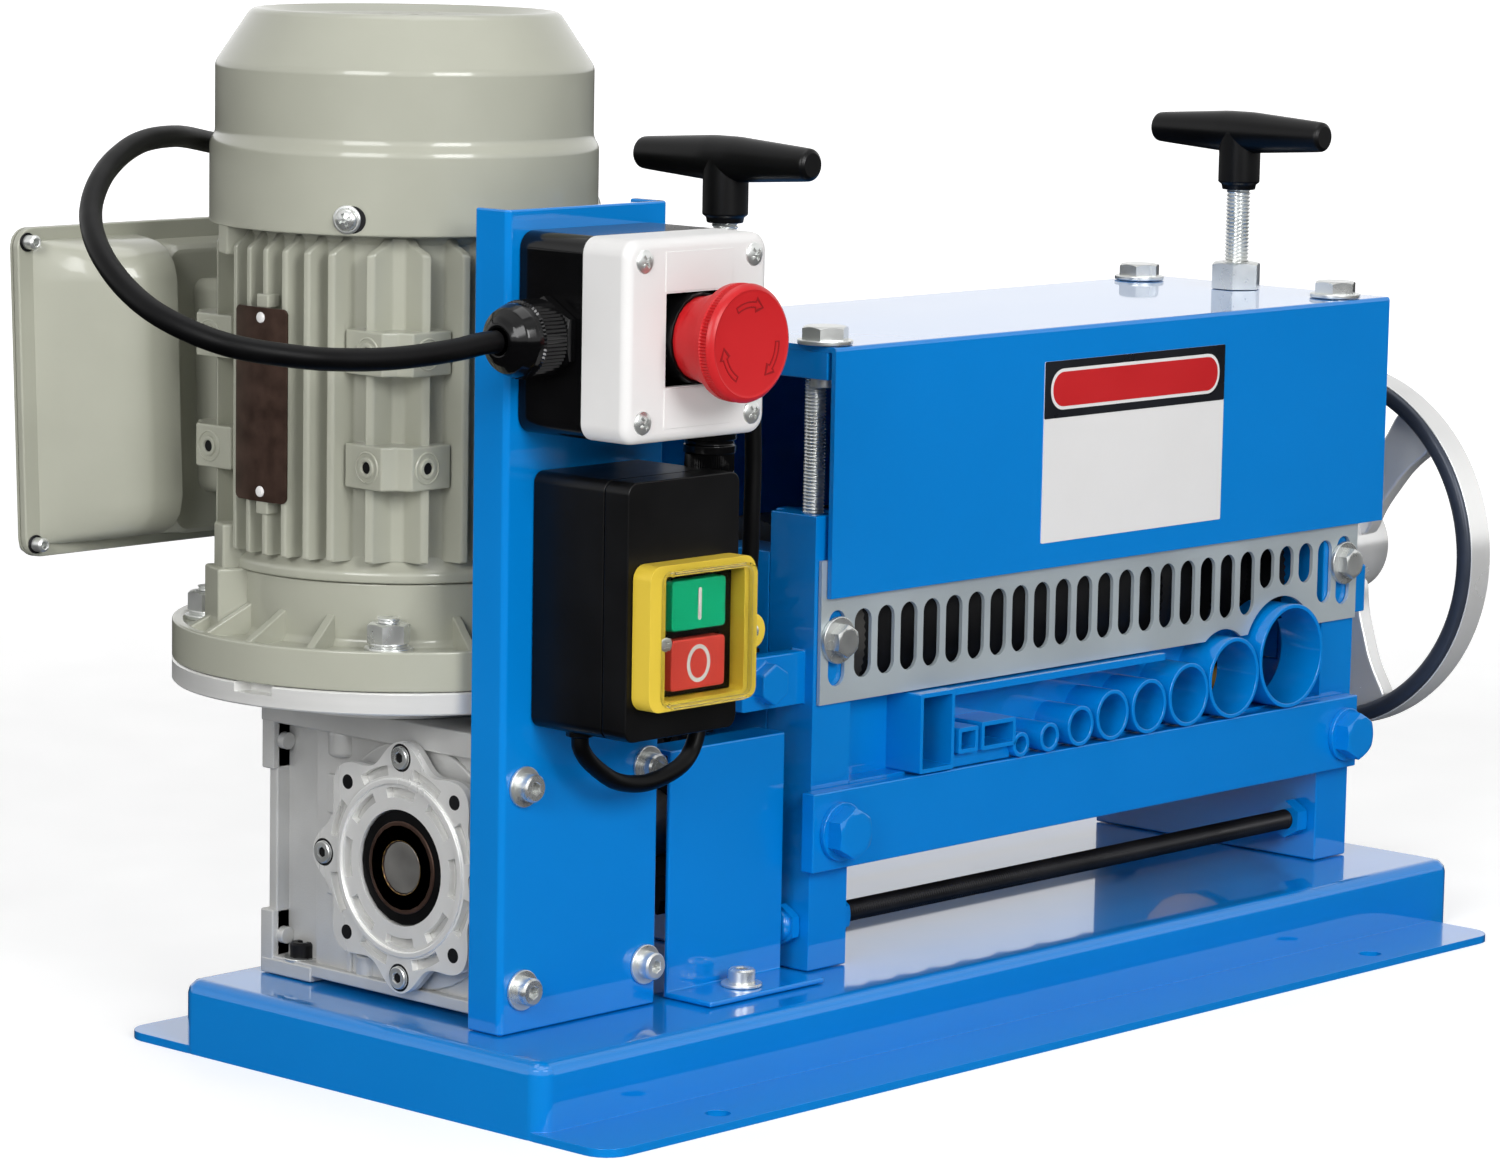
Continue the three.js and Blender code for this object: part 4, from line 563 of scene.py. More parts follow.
def lead(name, node, cable):
    """Free cable as a curve along its route, riding on the frame."""
    line = [to_row @ point for point in catmull(cable["route"])]
    curve = bpy.data.curves.new(name, "CURVE")
    curve.dimensions = "3D"
    spline = curve.splines.new("POLY")
    spline.points.add(len(line) - 1)
    for target, point in zip(spline.points, line):
        target.co = (*point, 1)
    curve.bevel_depth = cable["radius"] * MM
    curve.bevel_resolution = 8
    curve.use_fill_caps = True
    spline.use_smooth = True
    curve.materials.append(looks["rubber"][1])
    obj = added(name, curve)
    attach(obj, "frame")
    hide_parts(node)


make_camera()
lead("lead_to_motor", "motor_cable", motor_lead)
lead("lead_to_switch", "switch_cable", switch_lead)


# Solids that keep their CAD shape: look, edge rounding and nodes
kept_nodes = [
    ("blue", 0.7, ("base_tray", "control_bracket", "coupling_guard", "left_side_frame",
                   "right_side_frame")),
    ("blue", 0.4, ("left_bearing_block", "right_bearing_block")),
    ("gloss", 0.6, ("estop_box_base",)),
    ("black", 0.6, ("switch_box_base", "switch_box_cover")),
    ("dark", 0.2, ("upper_gear", "lower_gear")),
    ("black", 0.2, ("estop_collar", "cooling_fan")),
    ("steel", 0.2, ("cutter_shaft", "blade_stack", "rotor", "worm", "estop_plunger")),
    ("bronze", 0.2, ("lower_left_bearing", "lower_right_bearing", "worm_wheel")),
    ("copper", 0.2, ("stator_core",)),
    ("rubber", 0.2, ("oil_seal",)),
    ("green", 0.6, ("start_button",)),
    ("button_red", 0.6, ("stop_button",)),
]
for look, bevel, nodes in kept_nodes:
    for node in nodes:
        dress(node, look, bevel)


# Stripping head
head_y, lower_z, upper_z = 91, 50, 115
frame_x = (180.2, 482.4)
stud_y = (41.5, 140.5)
cover_top, frame_front = 225, 34.9
cover = {"left": 174.2, "right": 504.6, "half": 60.2, "low": 135.4, "sheet": 2, "bend": 1.6,
         "inner_bend": 0.4, "steps": 5, "bevel": 0.25, "yoke_wide": 10.2, "yoke_deep": 56.2,
         "yoke_low": 213, "yoke_bevel": 0.6, "stud": 4, "stud_in": 45.6, "stud_low": 141,
         "pitch": 1.25, "depth": 0.6}
cover_bolt = {"flats": 15, "height": 4.8, "washer": 10, "bore": 5, "thick": 1.6, "shank": 5,
              "low": 210, "nut_flats": 18, "nut": 10.5, "nut_bore": 5.3}


def top_cover():
    """Sheet bent over the head, the yokes under it and the studs that carry them."""
    c = cover
    low, top, half, sheet, steps = c["low"], cover_top, c["half"], c["sheet"], c["steps"]
    outer = [(head_y - half, low), (head_y - half, top), (head_y + half, top),
             (head_y + half, low)]
    inner = [(head_y - half + sheet, low), (head_y - half + sheet, top - sheet),
             (head_y + half - sheet, top - sheet), (head_y + half - sheet, low)]
    outline = [*softened(outer, c["bend"], steps),
               *reversed(softened(inner, c["inner_bend"], steps))]
    fixed("head_cover", "blue", plate("x", outline, [], c["left"], c["right"]),
          bevel=c["bevel"], stands_for=("top_cover",))
    wide, deep, under = c["yoke_wide"], c["yoke_deep"], c["yoke_low"]
    yokes, studs = [], []
    for x in frame_x:
        yokes.append(box(max(x - wide, c["left"]), x + wide, head_y - deep, head_y + deep, under,
                         top - sheet + SUNK))
        for y in (c["stud_in"], 2 * head_y - c["stud_in"]):
            studs.append(thread("z", (x, y), c["stud"], c["stud_low"], under + 1, c["pitch"],
                                c["depth"]))
    fixed("cover_yokes", "blue", *yokes, bevel=c["yoke_bevel"])
    fixed("cover_studs", "zinc", *studs)


def cover_bolts():
    b = cover_bolt
    seat = cover_top + GAP
    for x, side in zip(frame_x, ("left", "right")):
        for y, end in zip(stud_y, ("front", "rear")):
            fixed(f"cover_screw_{end}_{side}", "zinc",
                  *bolt("z", (x, y), seat, 1, b, b["low"], seat + b["thick"]),
                  stands_for=(f"cover_bolt_{end}_{side}",))
        fixed(f"lock_nut_{side}", "zinc",
              hex_body("z", (x, head_y), seat, 1, b["nut_flats"], b["nut"], b["nut_bore"]))


rail = {"left": 164.8, "right": 489.3, "front": 28.6, "back": 34.6, "low": 37.7, "high": 66.4,
        "z": 51.5, "shift": -1.5, "washer": 10.6, "bore": 4, "thick": 2, "flats": 16.4,
        "height": 6.5, "shank": 4, "end": 54.3, "bevel": 0.6}


def guide_rail():
    r = rail
    bolts = []
    for x in frame_x:
        bolts += bolt("y", (x + r["shift"], r["z"]), r["front"], -1, r,
                      r["front"] - r["thick"], r["end"])
    fixed("cross_rail", "blue",
          box(*[r[key] for key in ("left", "right", "front", "back", "low", "high")]),
          bevel=r["bevel"], stands_for=("guide_rail",))
    fixed("rail_bolts", "blue", *bolts)


# Guide tubes: centre and diameter of the round ones, then left side, width, foot and height
tube = {"front": 27, "back": 46.5, "wall": 1.6, "floor": 66.8, "left": 190.7, "right": 471.9,
        "plate": 3, "low": 60, "high": 100, "soft": 0.35, "corner": 0.8, "inner_corner": 0.3,
        "plate_corner": 0.5, "bevel": 0.25}
round_tubes = [(277.5, 9.3), (294, 11), (312.2, 15.3), (331.2, 19.3), (353.3, 21),
               (377.6, 24.5), (405.8, 31.5), (442.4, 41)]
square_tubes = [(220, 19, 67.2, 29.4), (241.6, 11, 72, 9.6), (254.6, 19.4, 71.8, 10.6)]
step_under_tubes = {"left": 241, "right": 274, "front": 30, "height": 4.7}
roof_over_tubes = {"left": 238, "right": 364, "front": 28.5, "low": 93.8, "high": 96.4}
floor_under_tubes = {"low": 3, "high": 0.5}


def guide_tubes():
    t, wall = tube, tube["wall"]
    shapes, holes = [], []
    for x, width in round_tubes:
        at = (x, t["floor"] + width / 2)
        shapes.append(ring("y", at, width / 2, width / 2 - wall, t["front"], t["back"],
                           t["soft"]))
        holes.append(circle(*at, width / 2 - wall))
    squares = []
    for x, width, low, height in square_tubes:
        outer = rounded(x, x + width, low, low + height, t["corner"], 3)
        inner = rounded(x + wall, x + width - wall, low + wall, low + height - wall,
                        t["inner_corner"], 2)
        squares.append(plate("y", outer, [inner], t["front"], t["back"]))
        holes.append(inner)
    floor, back = t["floor"], t["back"]
    outline = rounded(t["left"], t["right"], t["low"], t["high"], t["plate_corner"], 2)
    step, roof, sole = step_under_tubes, roof_over_tubes, floor_under_tubes
    squares += [
        plate("y", outline, holes, back - t["plate"], back),
        box(step["left"], step["right"], step["front"], back - t["plate"], floor,
            floor + step["height"]),
        box(roof["left"], roof["right"], roof["front"], back - t["plate"], roof["low"],
            roof["high"]),
        box(t["left"], t["right"], frame_front, back - t["plate"], floor - sole["low"],
            floor + sole["high"]),
    ]
    fixed("round_guides", "blue", *shapes)
    fixed("guide_plates", "blue", *squares, bevel=t["bevel"], stands_for=("guide_tube_bank",))


guard = {"left": 171.7, "right": 491.6, "low": 97.1, "high": 149, "front": 33.1, "back": 34.6,
         "slot": 194.3, "pitch": 12.54, "count": 23, "width": 9.2, "slot_low": 105,
         "slot_high": 130, "short_low": 114.3, "short": (19, 20, 21), "clear": 2.6,
         "arc_steps": 24, "bolt_z": 120, "bolt_low": 103.3, "bolt_high": 130.7,
         "bolt_width": 8.8, "bevel": 0.25}
guard_bolt = {"washer": 8.5, "bore": 4.2, "thick": 1.6, "flats": 10.4, "height": 4.3,
              "shank": 4, "start": 2, "end": 44}


def guard_outline():
    """Outline of the guard with the arcs that clear the two widest tubes."""
    line = [(guard["left"], guard["high"]), (guard["left"], guard["low"])]
    steps = guard["arc_steps"]
    for x, width in round_tubes[-2:]:
        middle = tube["floor"] + width / 2
        radius = width / 2 + guard["clear"]
        reach = math.degrees(math.acos((guard["low"] - middle) / radius))
        for k in range(steps + 1):
            turn = 90 + reach - 2 * reach * k / steps
            line.append(polar(radius, turn, (x, middle)))
    return [*line, (guard["right"], guard["low"]), (guard["right"], guard["high"])]


def slotted_guard():
    g, b = guard, guard_bolt
    holes = []
    for i in range(g["count"]):
        low = g["short_low"] if i in g["short"] else g["slot_low"]
        holes.append(slot(g["slot"] + i * g["pitch"], low, g["slot_high"], g["width"]))
    for x in frame_x:
        holes.append(slot(x, g["bolt_low"], g["bolt_high"], g["bolt_width"]))
    piece("slotted_guard", "zinc_sheet", "guard",
          plate("y", guard_outline(), holes, g["front"], g["back"]), bevel=g["bevel"],
          stands_for=("slotted_guard_plate",))
    seat = g["front"] - SUNK
    for x, side in zip(frame_x, ("left", "right")):
        fixed(f"guard_bolt_{side}", "zinc",
              *bolt("y", (x, g["bolt_z"]), seat, -1, b, seat - b["start"], b["end"]))


tie = {"y": (45.2, 136.8), "z": 16.5, "radius": 4, "flats": 13, "bore": 4.05,
       "ends": (166.2, 496.4), "pitch": 1.25, "depth": 0.7, "dome_soft": 0.6,
       "nuts": ((190.7, 6.5), (465.4, 6.5), (165.7, 4), (492.9, 4)),
       "domes": ((165.7, -1), (496.9, 1)),
       "dome": ((5.6, 0.05), (5.4, 1.2), (4, 2.2), (1, 2.6))}


def tie_rods():
    for y, node in zip(tie["y"], ("front_tie_rod", "rear_tie_rod")):
        at = (y, tie["z"])
        fixed(f"{node}_thread", "dark",
              thread("x", at, tie["radius"], *tie["ends"], tie["pitch"], tie["depth"]),
              stands_for=(node,))
        nuts = [hex_body("x", at, x, 1, tie["flats"], width, tie["bore"])
                for x, width in tie["nuts"]]
        for x, way in tie["domes"]:
            nuts.append(lathe("x", at, [(radius, x + way * rise) for radius, rise in tie["dome"]],
                              tie["dome_soft"]))
        fixed(f"{node}_nuts", "blue", *nuts)


screw = {"radius": 5, "collar": 8, "low": 140.7, "collar_high": 145.7, "top": 282.7,
         "pitch": 1.5, "depth": 0.85}
# Tee handle: the hub's steps, then the half bar from its end to its middle
handle = {"bar": 288, "low": 265, "bore": 5.3, "foot": 6.6, "lip": 0.3, "foot_high": 2,
          "hub_from": 3, "hub": 8.3, "hub_edge": 3, "hub_over": 5, "hub_soft": 0.5, "half": 42,
          "centre": 8.25, "thick_half": 6, "end": 5.8, "tip": 1.5, "tip_from": 1, "neck": 4,
          "bar_soft": 2.5}


def tee_handle(at):
    """Hub and tapered bar of a handle on the screw at a place."""
    h = handle
    z, half, end, neck = h["bar"], h["half"], h["end"], h["end"] + h["lip"]
    hub = lathe("z", at, [(h["bore"], h["low"]), (h["foot"], h["low"]),
                          (h["foot"] + h["lip"], h["low"] + h["foot_high"]),
                          (h["hub"], h["low"] + h["hub_from"]), (h["hub"], z),
                          (h["hub"] - h["hub_edge"], z + h["hub_over"])], h["hub_soft"])
    outer = [(end - h["tip"], half), (end, half - h["tip_from"]), (neck, half - h["neck"]),
             (h["centre"], h["thick_half"])]
    line = [(radius, head_y - reach) for radius, reach in outer]
    line += [(radius, head_y + reach) for radius, reach in reversed(outer)]
    return hub, lathe("y", (at[0], z), line, h["bar_soft"])


def adjusters():
    for x, side in zip(frame_x, ("left", "right")):
        at = (x, head_y)
        body = f"{side}_screw"
        piece(f"{body}_thread", "zinc", body,
              rod("z", at, screw["collar"], screw["low"], screw["collar_high"]),
              thread("z", at, screw["radius"], screw["collar_high"], screw["top"],
                     screw["pitch"], screw["depth"]),
              stands_for=(f"{side}_adjusting_screw",))
        piece(f"{side}_tee", "black", body, *tee_handle(at),
              stands_for=(f"{side}_tee_handle",))


wheel = {"left": 544.1, "right": 560.9, "outer": 75.5, "inner": 68, "core": 0.3, "soft": 3.2,
         "sides": 160, "band": 0.8, "band_in": 2, "hub": 20, "hub_left": 540,
         "hub_right": 566, "bore": 9.3, "hub_soft": 1, "spoke": (548, 556), "count": 3,
         "first": 10, "spoke_soft": 6, "spoke_bevel": 1.2,
         "side": ((16, 13), (30, 9), (52, 8), (69.5, 11.5))}
crank = {"radius": 60, "pin": 5, "head": 8, "root": 560.8, "left": 561.2, "right": 615.2,
         "pin_end": 616, "cap": 615.5, "end": 619.5, "bore": 5.3, "waist": 10, "belly": 12,
         "taper": 10, "soft": 3}


def hand_wheel():
    w = wheel
    at = (head_y, upper_z)
    rim = ring("x", at, w["outer"] - w["core"], w["inner"], w["left"], w["right"], w["soft"],
               w["sides"])
    band = ring("x", at, w["outer"], w["outer"] - w["band"], w["left"] + w["band_in"],
                w["right"] - w["band_in"], sides=w["sides"])
    hub = ring("x", at, w["hub"], w["bore"], w["hub_left"], w["hub_right"], w["hub_soft"])
    spokes = []
    for i in range(w["count"]):
        turn = w["first"] + 360 / w["count"] * i
        outline = [*w["side"], *[(a, -b) for a, b in reversed(w["side"])]]
        placed = [polar(math.hypot(a, b), turn + math.degrees(math.atan2(b, a)), at)
                  for a, b in softened(outline, w["spoke_soft"], closed=True)]
        spokes.append(prism("x", placed, *w["spoke"]))
    # The rim's dark blue-grey sides carry a painted reflection of the blue cover.
    piece("wheel_rim", "rim_dark_finish_and_reflection", "roller", rim, stands_for=("handwheel",))
    piece("wheel_band", "chrome", "roller", band)
    piece("wheel_hub", "chrome", "roller", hub)
    piece("wheel_spokes", "chrome", "roller", *spokes, bevel=w["spoke_bevel"])


def crank_knob():
    c, spoke_right = crank, wheel["spoke"][1]
    at = polar(c["radius"], wheel["first"], (head_y, upper_z))
    piece("crank_pin", "steel", "roller",
          rod("x", at, c["head"], spoke_right - 0.5, c["root"]),
          rod("x", at, c["pin"], spoke_right, c["pin_end"]),
          rod("x", at, c["head"], c["cap"], c["end"]))
    left, right, taper = c["left"], c["right"], c["taper"]
    grip = [(c["bore"], left), (c["waist"], left), (c["belly"], left + taper),
            (c["waist"], (left + right) / 2), (c["belly"], right - taper), (c["waist"], right),
            (c["bore"], right)]
    piece("crank_grip", "black", "knob", lathe("x", at, grip, c["soft"], True),
          stands_for=("crank_knob",))


# Roller: lands are middle, width and radius of the stretches behind the widest tubes
# bright is where the lit grey knurl ends and the painted shade on the rest of the roller begins.
roller = {"left": 196, "bright": 214, "right": 466, "radius": 42, "shaft": 12.5,
          "shaft_left": 146.5, "seat": 539.7, "seat_radius": 9, "end": 565.7, "soft": 0.6,
          "lands": ((377.6, 20, 38), (405.8, 27, 34), (442.4, 35, 28)),
          "teeth": 88, "rise": 0.8, "step": 1.5, "edge": 2.5}


def knurl(at, radius, low, high):
    """Round body whose surface stands in small pyramids."""
    r = roller
    turns = [180 * i / r["teeth"] for i in range(2 * r["teeth"])]

    def plain(level):
        return [spot("x", at, *polar(radius - r["edge"], turn), level) for turn in turns]

    count = max(2, int((high - low) / r["step"]))
    loops = [plain(low)]
    for k in range(count + 1):
        level = low + (high - low) * k / count
        loops.append([spot("x", at, *polar(radius - r["rise"] * ((i + k) % 2), turn), level)
                      for i, turn in enumerate(turns)])
    return loft([*loops, plain(high)])


def knurled_roller():
    r = roller
    at = (head_y, upper_z)
    spans, start = [], r["bright"]
    for x, width, radius in r["lands"]:
        spans.append((start, x - width / 2, r["radius"]))
        spans.append((x - width / 2, x + width / 2, radius))
        start = x + width / 2
    spans.append((start, r["right"], r["radius"]))
    # One knurled steel roller: the stretch under the first slots keeps a lit grey, the rest is
    # near-black, painted shade deep behind the guard.
    piece("roller_knurl_left", "knurl", "roller", knurl(at, r["radius"], r["left"], r["bright"]))
    piece("roller_knurl_painted_shade", "dark", "roller", *[knurl(at, radius, a, b) for a, b, radius in spans])
    piece("roller_shaft", "steel", "roller",
          rod("x", at, r["shaft"], r["shaft_left"], r["seat"], r["soft"]),
          rod("x", at, r["seat_radius"], r["seat"] - 1, r["end"], r["soft"]),
          stands_for=("knurled_roller",))


# Bare sign place: field and band are how far front and back stand out from the face
sign = {"left": 290, "right": 398, "low": 145, "high": 212.6, "face": 30.8, "corner": 0.6,
        "band_share": 0.315, "field": (0.3, -0.1), "band": (0.4, 0.25)}
# Pills in the band: look, insets at side and end, corner, then front and back as above
sign_pills = {"sign_edge": ("white", 3.4, 3, 7.2, 0.5, 0.35),
              "sign_bar": ("red", 4.6, 4.2, 6.2, 0.6, 0.45)}


def sign_plate():
    """White field under a black band with a plain red bar."""
    left, right, low, high = (sign[key] for key in ("left", "right", "low", "high"))
    face, corner = sign["face"], sign["corner"]
    split = high - (high - low) * sign["band_share"]
    for name, look, foot, (out, back) in (("sign_field", "white", low, sign["field"]),
                                          ("sign_band", "band", split, sign["band"])):
        fixed(name, look, prism("y", rounded(left, right, foot, high, corner, 3), face - out,
                                face - back))
    middle, half = (split + high) / 2, (high - split) / 2
    for name, (look, side, end, radius, out, back) in sign_pills.items():
        pill = rounded(left + side, right - side, middle - half + end, middle + half - end,
                       radius)
        fixed(name, look, prism("y", pill, face - out, face - back))


top_cover()
cover_bolts()
guide_rail()
guide_tubes()
slotted_guard()
tie_rods()
adjusters()
hand_wheel()
crank_knob()
knurled_roller()
sign_plate()


# Gearbox
motor = (59.3, 131)
# hole and hole_radius place dark discs painted as the shade of holes that are not cut; recess and
# socket in outlet_screw size the dark ring and plug painted as shade in each screw's counterbore
# and socket.
outlet = {"left": 21.8, "mid": 24.6, "right": 27, "mean": 40.4, "swing": 3.6, "lobes": 8,
          "points": 240, "bore": 20.3, "inner": (24.5, 28), "outer": (32, 35.6), "spread": 30,
          "outer_share": 0.78, "arc_steps": 10, "step": (31.2, 29.2, 0.9), "bolt": 38.5,
          "hole": 37.5, "hole_radius": 2.6, "bevel": 0.3, "sides": 160}
outlet_screw = {"radius": 3.9, "height": 2.2, "key": 3.4, "seat": 1, "recess": (4.9, 4.0),
                "socket": 1.8, "socket_front": 0.5, "socket_back": 0.4, "socket_sides": 24}
hub_ring = {"outer": 16.2, "inner": 9.1, "front": 22.4, "back": 26, "soft": 0.4}


def lobed():
    line = []
    for k in range(outlet["points"]):
        turn = 360 / outlet["points"] * k
        share = math.cos(math.radians(outlet["lobes"] * turn))
        line.append(polar(outlet["mean"] + outlet["swing"] * share, turn, (head_y, lower_z)))
    return line


def arc_slot(low, high, middle, spread):
    centre, steps = (head_y, lower_z), outlet["arc_steps"]
    line = [polar(low, middle - spread / 2 + spread * k / steps, centre)
            for k in range(steps + 1)]
    return [*line, *[polar(high, middle + spread / 2 - spread * k / steps, centre)
                     for k in range(steps + 1)]]


def output_cover():
    o = outlet
    at = (head_y, lower_z)
    left, mid = o["left"], o["mid"]
    pockets = []
    for i in range(o["lobes"]):
        pockets.append(arc_slot(*o["inner"], 45 * i, o["spread"]))
        pockets.append(arc_slot(*o["outer"], 45 * (i + 0.5), o["spread"] * o["outer_share"]))
    bore = circle(*at, o["bore"])
    fixed("outlet_face", "milled", plate("x", lobed(), [bore, *pockets], left, mid),
          bevel=o["bevel"], stands_for=("gearbox_output_cover",))
    fixed("outlet_back", "cast", plate("x", lobed(), [bore], mid + 0.01, o["right"]))
    outer, inner, proud = o["step"]
    fixed("outlet_step", "milled",
          ring("x", at, outer, inner, left - proud, mid, 0.4, o["sides"]))
    s = outlet_screw
    for i in range(4):
        at_screw = polar(o["bolt"], 90 * i, at)
        fixed(f"outlet_screw_{i}", "zinc",
              cap_screw("x", at_screw, left + s["seat"], -1, s["radius"], s["height"],
                        s["key"]))
        # A dark ring in each counterbore, a dark disc at each hole and a dark plug in each socket
        # are painted shade.
        fixed(f"outlet_recess_shade_{i}", "dark",
              ring("x", at_screw, *s["recess"], left - STEP, left + s["seat"], 0.1))
        fixed(f"outlet_hole_shade_{i}", "dark",
              rod("x", polar(o["hole"], 45 + 90 * i, at), o["hole_radius"], left - 0.04,
                  left + s["seat"], 0.1))
        fixed(f"outlet_socket_shade_{i}", "dark",
              rod("x", at_screw, s["socket"], left - s["socket_front"],
                  left + s["socket_back"], 0.1, s["socket_sides"]))
    h = hub_ring
    fixed("hub_ring", "plate",
          ring("x", at, h["outer"], h["inner"], h["front"], h["back"], h["soft"]))


# Casing: pairs whose name ends in z are levels from low to high
casing = {"left": 27.3, "right": 91.3, "front": 41.3, "back": 168.5, "flange": 6.5, "top": 100,
          "top_low": 91, "core": 31, "core_back": 143.4, "web": 35.3, "step": 2.2,
          "core_z": (5, 94), "web_z": (3, 94), "flange_z": (4, 93), "band_in": 0.2,
          "upper_z": (74, 92), "upper_back": 0.3, "lower_z": (0.3, 23.4), "foot_in": 0.6,
          "foot_front": 0.4, "foot_back": 0.8, "foot_z": (2.4, 7), "heel": (142, 0.5),
          "heel_z": (0.4, 6), "toe": 49, "toe_z": (0.3, 8), "bevel": 0.7}
# Pads on the core's sides: how far they stand out, then their depth and height
casing_pads = [(1.6, (132.5, 136.4), (33, 47)), (1.6, (132.5, 136.4), (62, 76)),
               (1.2, (117, 119.5), (6, 18)), (1.2, (124, 126.5), (6, 15))]
casing_rounds = [("x", (head_y, lower_z), 43.5, 29.6, 40, 1),
                 ("x", (head_y, lower_z), 36, 86, 96.8, 1),
                 ("z", (32.5, 130.8), 5.6, 82.5, 92, 2.5), ("z", (33, 118), 4.6, 3, 14, 1.5)]
flange_boss = {"x": 32.4, "z": (84, 14), "radius": 3, "proud": 2.8, "soft": 0.4}
foot_bolt = {"at": (33.8, 153.5), "seat": 7.1, "radius": 4.2, "height": 5.4, "key": 3.4,
             "washer": 6.5, "washer_seat": 6.05, "bore": 3, "thick": 1.1}


def mirrored(x0, x1, *rest):
    """Two boxes, one at each side of the casing's middle."""
    total = casing["left"] + casing["right"]
    return [box(x0, x1, *rest), box(total - x1, total - x0, *rest)]


def gearbox_casing():
    """Casing: core with a rear flange, top flange, foot and bosses between them."""
    c = casing
    left, right, front, back = (c[key] for key in ("left", "right", "front", "back"))
    rear, step, core, web, band = back - c["flange"], c["step"], c["core"], c["web"], c["band_in"]
    total, foot = left + right, c["foot_in"]
    heel, heel_back = c["heel"]
    solids = [
        box(core, total - core, front + 2, c["core_back"], *c["core_z"]),
        box(web, total - web, c["core_back"] - 2, rear + 1, *c["web_z"]),
        box(left, right, front, back, c["top_low"], c["top"]),
        box(left + step, right - step, rear, back - step, *c["flange_z"]),
        box(left + band, right - band, rear, back - c["upper_back"], *c["upper_z"]),
        box(left + band, right - band, rear, back, *c["lower_z"]),
        box(left + foot, right - foot, front + c["foot_front"], back - c["foot_back"],
            *c["foot_z"]),
        box(left, right, heel, back - heel_back, *c["heel_z"]),
        box(left, right, front, c["toe"], *c["toe_z"]),
    ]
    for proud, depth, height in casing_pads:
        solids += mirrored(core - proud, core + 1, *depth, *height)
    fixed("gearbox_casing", "cast", *solids, bevel=c["bevel"], stands_for=("gearbox_housing",))
    b = flange_boss
    rounds = [rod(*values) for values in casing_rounds]
    for z in b["z"]:
        rounds.append(rod("y", (b["x"], z), b["radius"], rear - b["proud"], rear + 1, b["soft"]))
    fixed("gearbox_bosses", "cast", *rounds)
    f = foot_bolt
    fixed("foot_bolt", "dark",
          cap_screw("z", f["at"], f["seat"], 1, f["radius"], f["height"], f["key"]))
    fixed("foot_washer", "zinc",
          washer("z", f["at"], f["washer_seat"], 1, f["washer"], f["bore"], f["thick"]))


# Motor
adapter = {"low": 107.3, "high": 115, "radius": 80, "edge": 0.6, "hub": 45, "bore": 30,
           "hub_low": 100.3, "slot": -173, "slot_half": 5.4, "slot_low": 111.6,
           "slot_radius": 74, "sides": 240}
shield = {"low": 115.3, "flange": 129, "radius": 80, "lip": 76.4, "lip_foot": 75.4,
          "floor": 127.4, "barrel": 60, "fillet": (1.5, 2), "top": 149.3, "bore": 12,
          "soft": 0.8, "sides": 160, "rib_top": 138, "rib_outer": 77, "rib": 3,
          "rib_bevel": 0.5, "phase": -137, "ribs": (22, -20, -39, -57), "bolt": 67.5,
          "columns": (-203, -23), "column": ((54, 70, 7.5, -0.5), (54, 67.5, 5, -2)),
          "column_top": 150, "column_end": 165}
flange_nut = {"washers": ((8.4, 0), (6.9, 1.6)), "bore": 4.2, "thick": 1.6, "flats": 13,
              "height": 6.6, "seat": 3.2, "stud": 4, "stud_bore": 4.1, "reach": 11.6,
              "pitch": 1.25, "depth": 0.6}
stator = {"top": 272, "root": 57, "fin": 1.2, "fin_root": 1.6, "fin_soft": 0.85, "corner": 38.6,
          "corner_root": 58.4, "offsets": (-26.7, -18, -9, 0, 9, 18, 26.7),
          "ends": ((156.8, 64.3), (157.4, 65), (261, 65), (262.2, 64.3), (264.4, 60.5),
                   (266.6, 58.6)),
          "shell": ((61.8, 149.6), (61.8, 153), (59.6, 155), (56.4, 158.6), (56.4, 264),
                    (58, 266), (58, 272), (53, 272), (53, 149.6)),
          "lug": (58, 66.5, 4.5, 258)}
pads = {"levels": (189.9, 228.6), "half": 7.5, "face": 54.4, "near": 29, "far": 47,
        "notch": 49.4, "foot": 16, "boss": 40, "bevel": 0.7,
        "ring": ((5.6, -1), (5.6, 0.25), (5.1, 0.5), (4.7, -0.5), (3.8, -0.5), (3.4, 0.8),
                 (2.2, 0.8), (2, -0.1)), "ring_soft": 0.2,
        "hole": ((1.98, -0.4), (1.98, 0.15))}
name_plate = {"low": 175.3, "high": 241.8, "first": -193.2, "last": -170, "inner": 65.2,
              "outer": 66.1, "corner": 2.2, "steps": (0, 0.15, 0.5, 1, 1.6), "spans": 12,
              "bevel": 0.15, "rivet": -180.5, "rivet_in": (3.5, 3.4),
              "rivet_line": ((1.9, -0.2), (1.9, 0.3), (1.5, 0.75), (0.4, 0.9)),
              "lug": (60, 65.6, 3, 2.4), "lug_out": (2, 2.2)}
fan_cover = {"low": 268, "skirt": 67.5, "skirt_top": 295.6, "ledge": 3.2, "drum": 65.6,
             "shoulder": 323, "lid": 53, "top": 342, "wall": 1.6, "dish": 3, "eye": 34,
             "soft": 1.5, "sides": 192, "rings": ((9, 6), (17, 12), (25, 18)), "hole": 2.1,
             "screws": (-150, -30, 90), "screw_z": 273.5, "screw": (3.9, 2.6),
             "washer": ((4.9, -0.4), (4.9, 0.5), (4.4, 0.9), (2, 0.9)),
             "gap": ((4.6, -0.5), (4.6, 0.12), (2, 0.12)), "gap_side": 1.9, "gap_soft": 0.05}


